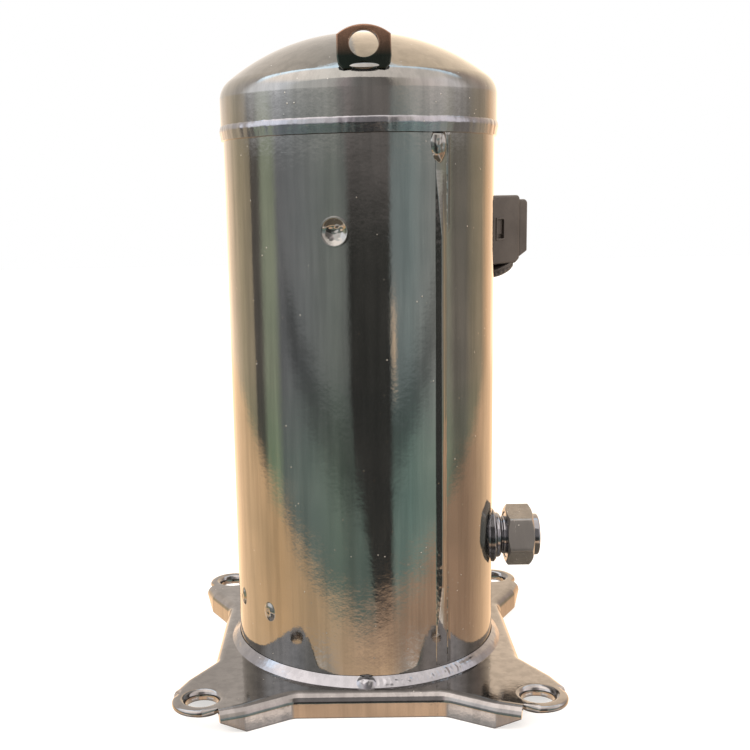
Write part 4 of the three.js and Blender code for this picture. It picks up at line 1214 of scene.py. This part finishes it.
def make_world():
    """Soft studio surroundings: dim walls, a dark gap in front, a pale ceiling and warm boards below."""
    world = bpy.data.worlds.new("studio")
    world.use_nodes = True
    bpy.context.scene.world = world
    nodes = Nodes(world.node_tree)
    way = nodes.add("ShaderNodeTexCoord").outputs["Generated"]
    parts = nodes.add("ShaderNodeSeparateXYZ", Vector=way)
    height = parts.outputs["Z"]
    forward = nodes.math("MULTIPLY", parts.outputs["Y"], -1.0)
    angle = nodes.math("MULTIPLY", nodes.math("ARCTAN2", parts.outputs["X"], forward), 360 / TURN)
    azimuth = nodes.math("ADD", angle, nodes.math("MULTIPLY_ADD", nodes.noise(way, 4.0, 3.0), 3.0, -1.5))

    walls = gap_in_walls(nodes, azimuth, height, shaded_walls(nodes, azimuth, height))
    behind = nodes.math("MULTIPLY", nodes.remap(nodes.math("ABSOLUTE", azimuth), 120.0, 150.0),
                        nodes.remap(height, 0.0, 0.1))
    climb = nodes.math("MAXIMUM", behind, nodes.remap(height, 0.03, 0.15))
    raised = nodes.mix(climb, walls, around(nodes, azimuth, SKY_STOPS))
    pitch = nodes.math("MULTIPLY", nodes.math("ARCTAN2", height, forward), 360 / TURN)
    above = between(nodes, pitch, 47.0, 114.0, 1.5)
    overhead = nodes.math("MULTIPLY", above, nodes.remap(height, 0.5, 0.7))
    warm_to_cool = nodes.mix(nodes.remap(pitch, 100.0, 108.0), (0.74, 0.67, 0.62), (0.72, 0.86, 0.98))
    dimmer = nodes.grey(nodes.remap(parts.outputs["X"], -0.25, 0.2, 1.0, 0.66))
    lit = nodes.mix(overhead, raised, nodes.product(warm_to_cool, dimmer))

    curve = nodes.math("COSINE", nodes.math("MULTIPLY", azimuth, TURN / 360))
    bow = nodes.math("MULTIPLY_ADD", curve, -0.12, -0.255)
    rough_edge = nodes.math("MULTIPLY_ADD", nodes.noise(way, 3.0, 3.0), 0.05, -0.025)
    over = nodes.math("SUBTRACT", nodes.math("ADD", height, rough_edge), bow)
    boards = lit_boards(nodes, azimuth, height)
    floored = nodes.mix(nodes.remap(over, 0.015, -0.015), lit, boards)
    background = nodes.add("ShaderNodeBackground", Color=floored, Strength=STUDIO_STRENGTH)
    output = nodes.add("ShaderNodeOutputWorld")
    nodes.feed(output.inputs["Surface"], background.outputs[0])


def plain_material(name, color, glow, diffuse):
    """Stage material: part plain paint, part even glow, so that the stage stays pale."""
    material = bpy.data.materials.new(name)
    material.use_nodes = True
    nodes = Nodes(material.node_tree)
    paint = nodes.add("ShaderNodeBsdfDiffuse", Color=(*(c * diffuse for c in color), 1.0))
    light = nodes.add("ShaderNodeEmission", Color=(*color, 1.0), Strength=glow)
    both = nodes.add("ShaderNodeAddShader")
    nodes.feed(both.inputs[0], paint.outputs[0])
    nodes.feed(both.inputs[1], light.outputs[0])
    output = nodes.add("ShaderNodeOutputMaterial")
    nodes.feed(output.inputs["Surface"], both.outputs[0])
    return material


def only_for_camera(obj, shadow=False):
    """Keeps a stage piece out of reflections and, unless it may shade, out of all light."""
    obj.visible_glossy = False
    obj.visible_transmission = False
    obj.visible_volume_scatter = False
    obj.visible_shadow = shadow
    obj.visible_diffuse = shadow


def make_stage():
    """A pale floor under the compressor and a white surround that only the camera sees."""
    bm = bmesh.new()
    bmesh.ops.create_grid(bm, x_segments=2, y_segments=2, size=4000)
    bmesh.ops.translate(bm, verts=bm.verts, vec=(0, 0, -0.2))
    floor = to_object("floor", bm, plain_material("floor_paint", (1.0, 0.985, 0.965), 0.62, 0.42))
    only_for_camera(floor, shadow=True)
    bm = bmesh.new()
    bmesh.ops.create_icosphere(bm, subdivisions=4, radius=5000)
    surround = to_object("surround", bm, plain_material("surround_paint", (1.0, 1.0, 1.0), 1.0, 0.0))
    only_for_camera(surround)


def area_light(name, place, aim, size, power, color):
    data = bpy.data.lights.new(name, "AREA")
    data.shape = "DISK"
    data.size = size
    data.energy = power
    data.color = color
    light = bpy.data.objects.new(name, data)
    bpy.context.scene.collection.objects.link(light)
    light.location = place
    light.rotation_euler = (Vector(aim) - Vector(place)).to_track_quat("-Z", "Y").to_euler()
    light.visible_glossy = False
    light.visible_camera = False


def make_lights():
    """Soft lamps that shade the matt pieces and the floor."""
    area_light("key", (-0.9, -1.3, 1.6), (0, 0, 0.15), 1.2, 22.0, (1.0, 0.98, 0.95))
    area_light("fill", (1.5, -0.9, 1.0), (0, 0, 0.2), 1.4, 14.0, (1.0, 0.96, 0.9))
    area_light("back", (0.4, 1.6, 1.5), (0, 0, 0.15), 1.2, 12.0, (1.0, 0.97, 0.93))


# ---- the scene -------------------------------------------------------------------------------------

make_camera()
looks = make_materials()
dress_cad_nodes(looks)
make_shell(looks)
make_seam(looks)
make_cap(looks)
make_cap_weld(looks)
make_bottom_cap(looks)
make_base_plate(looks)
make_base_weld(looks)
make_lifting_eye(looks)
make_fitting("suction", 0, SUCTION_Z, SUCTION, looks)
make_fitting("discharge", 90, DISCHARGE_Z, DISCHARGE, looks)
make_terminal_box(looks)
make_terminal_cover(looks)
make_cable_gland(looks)
make_world()
make_stage()
make_lights()
bpy.context.scene.view_settings.view_transform = "Standard"
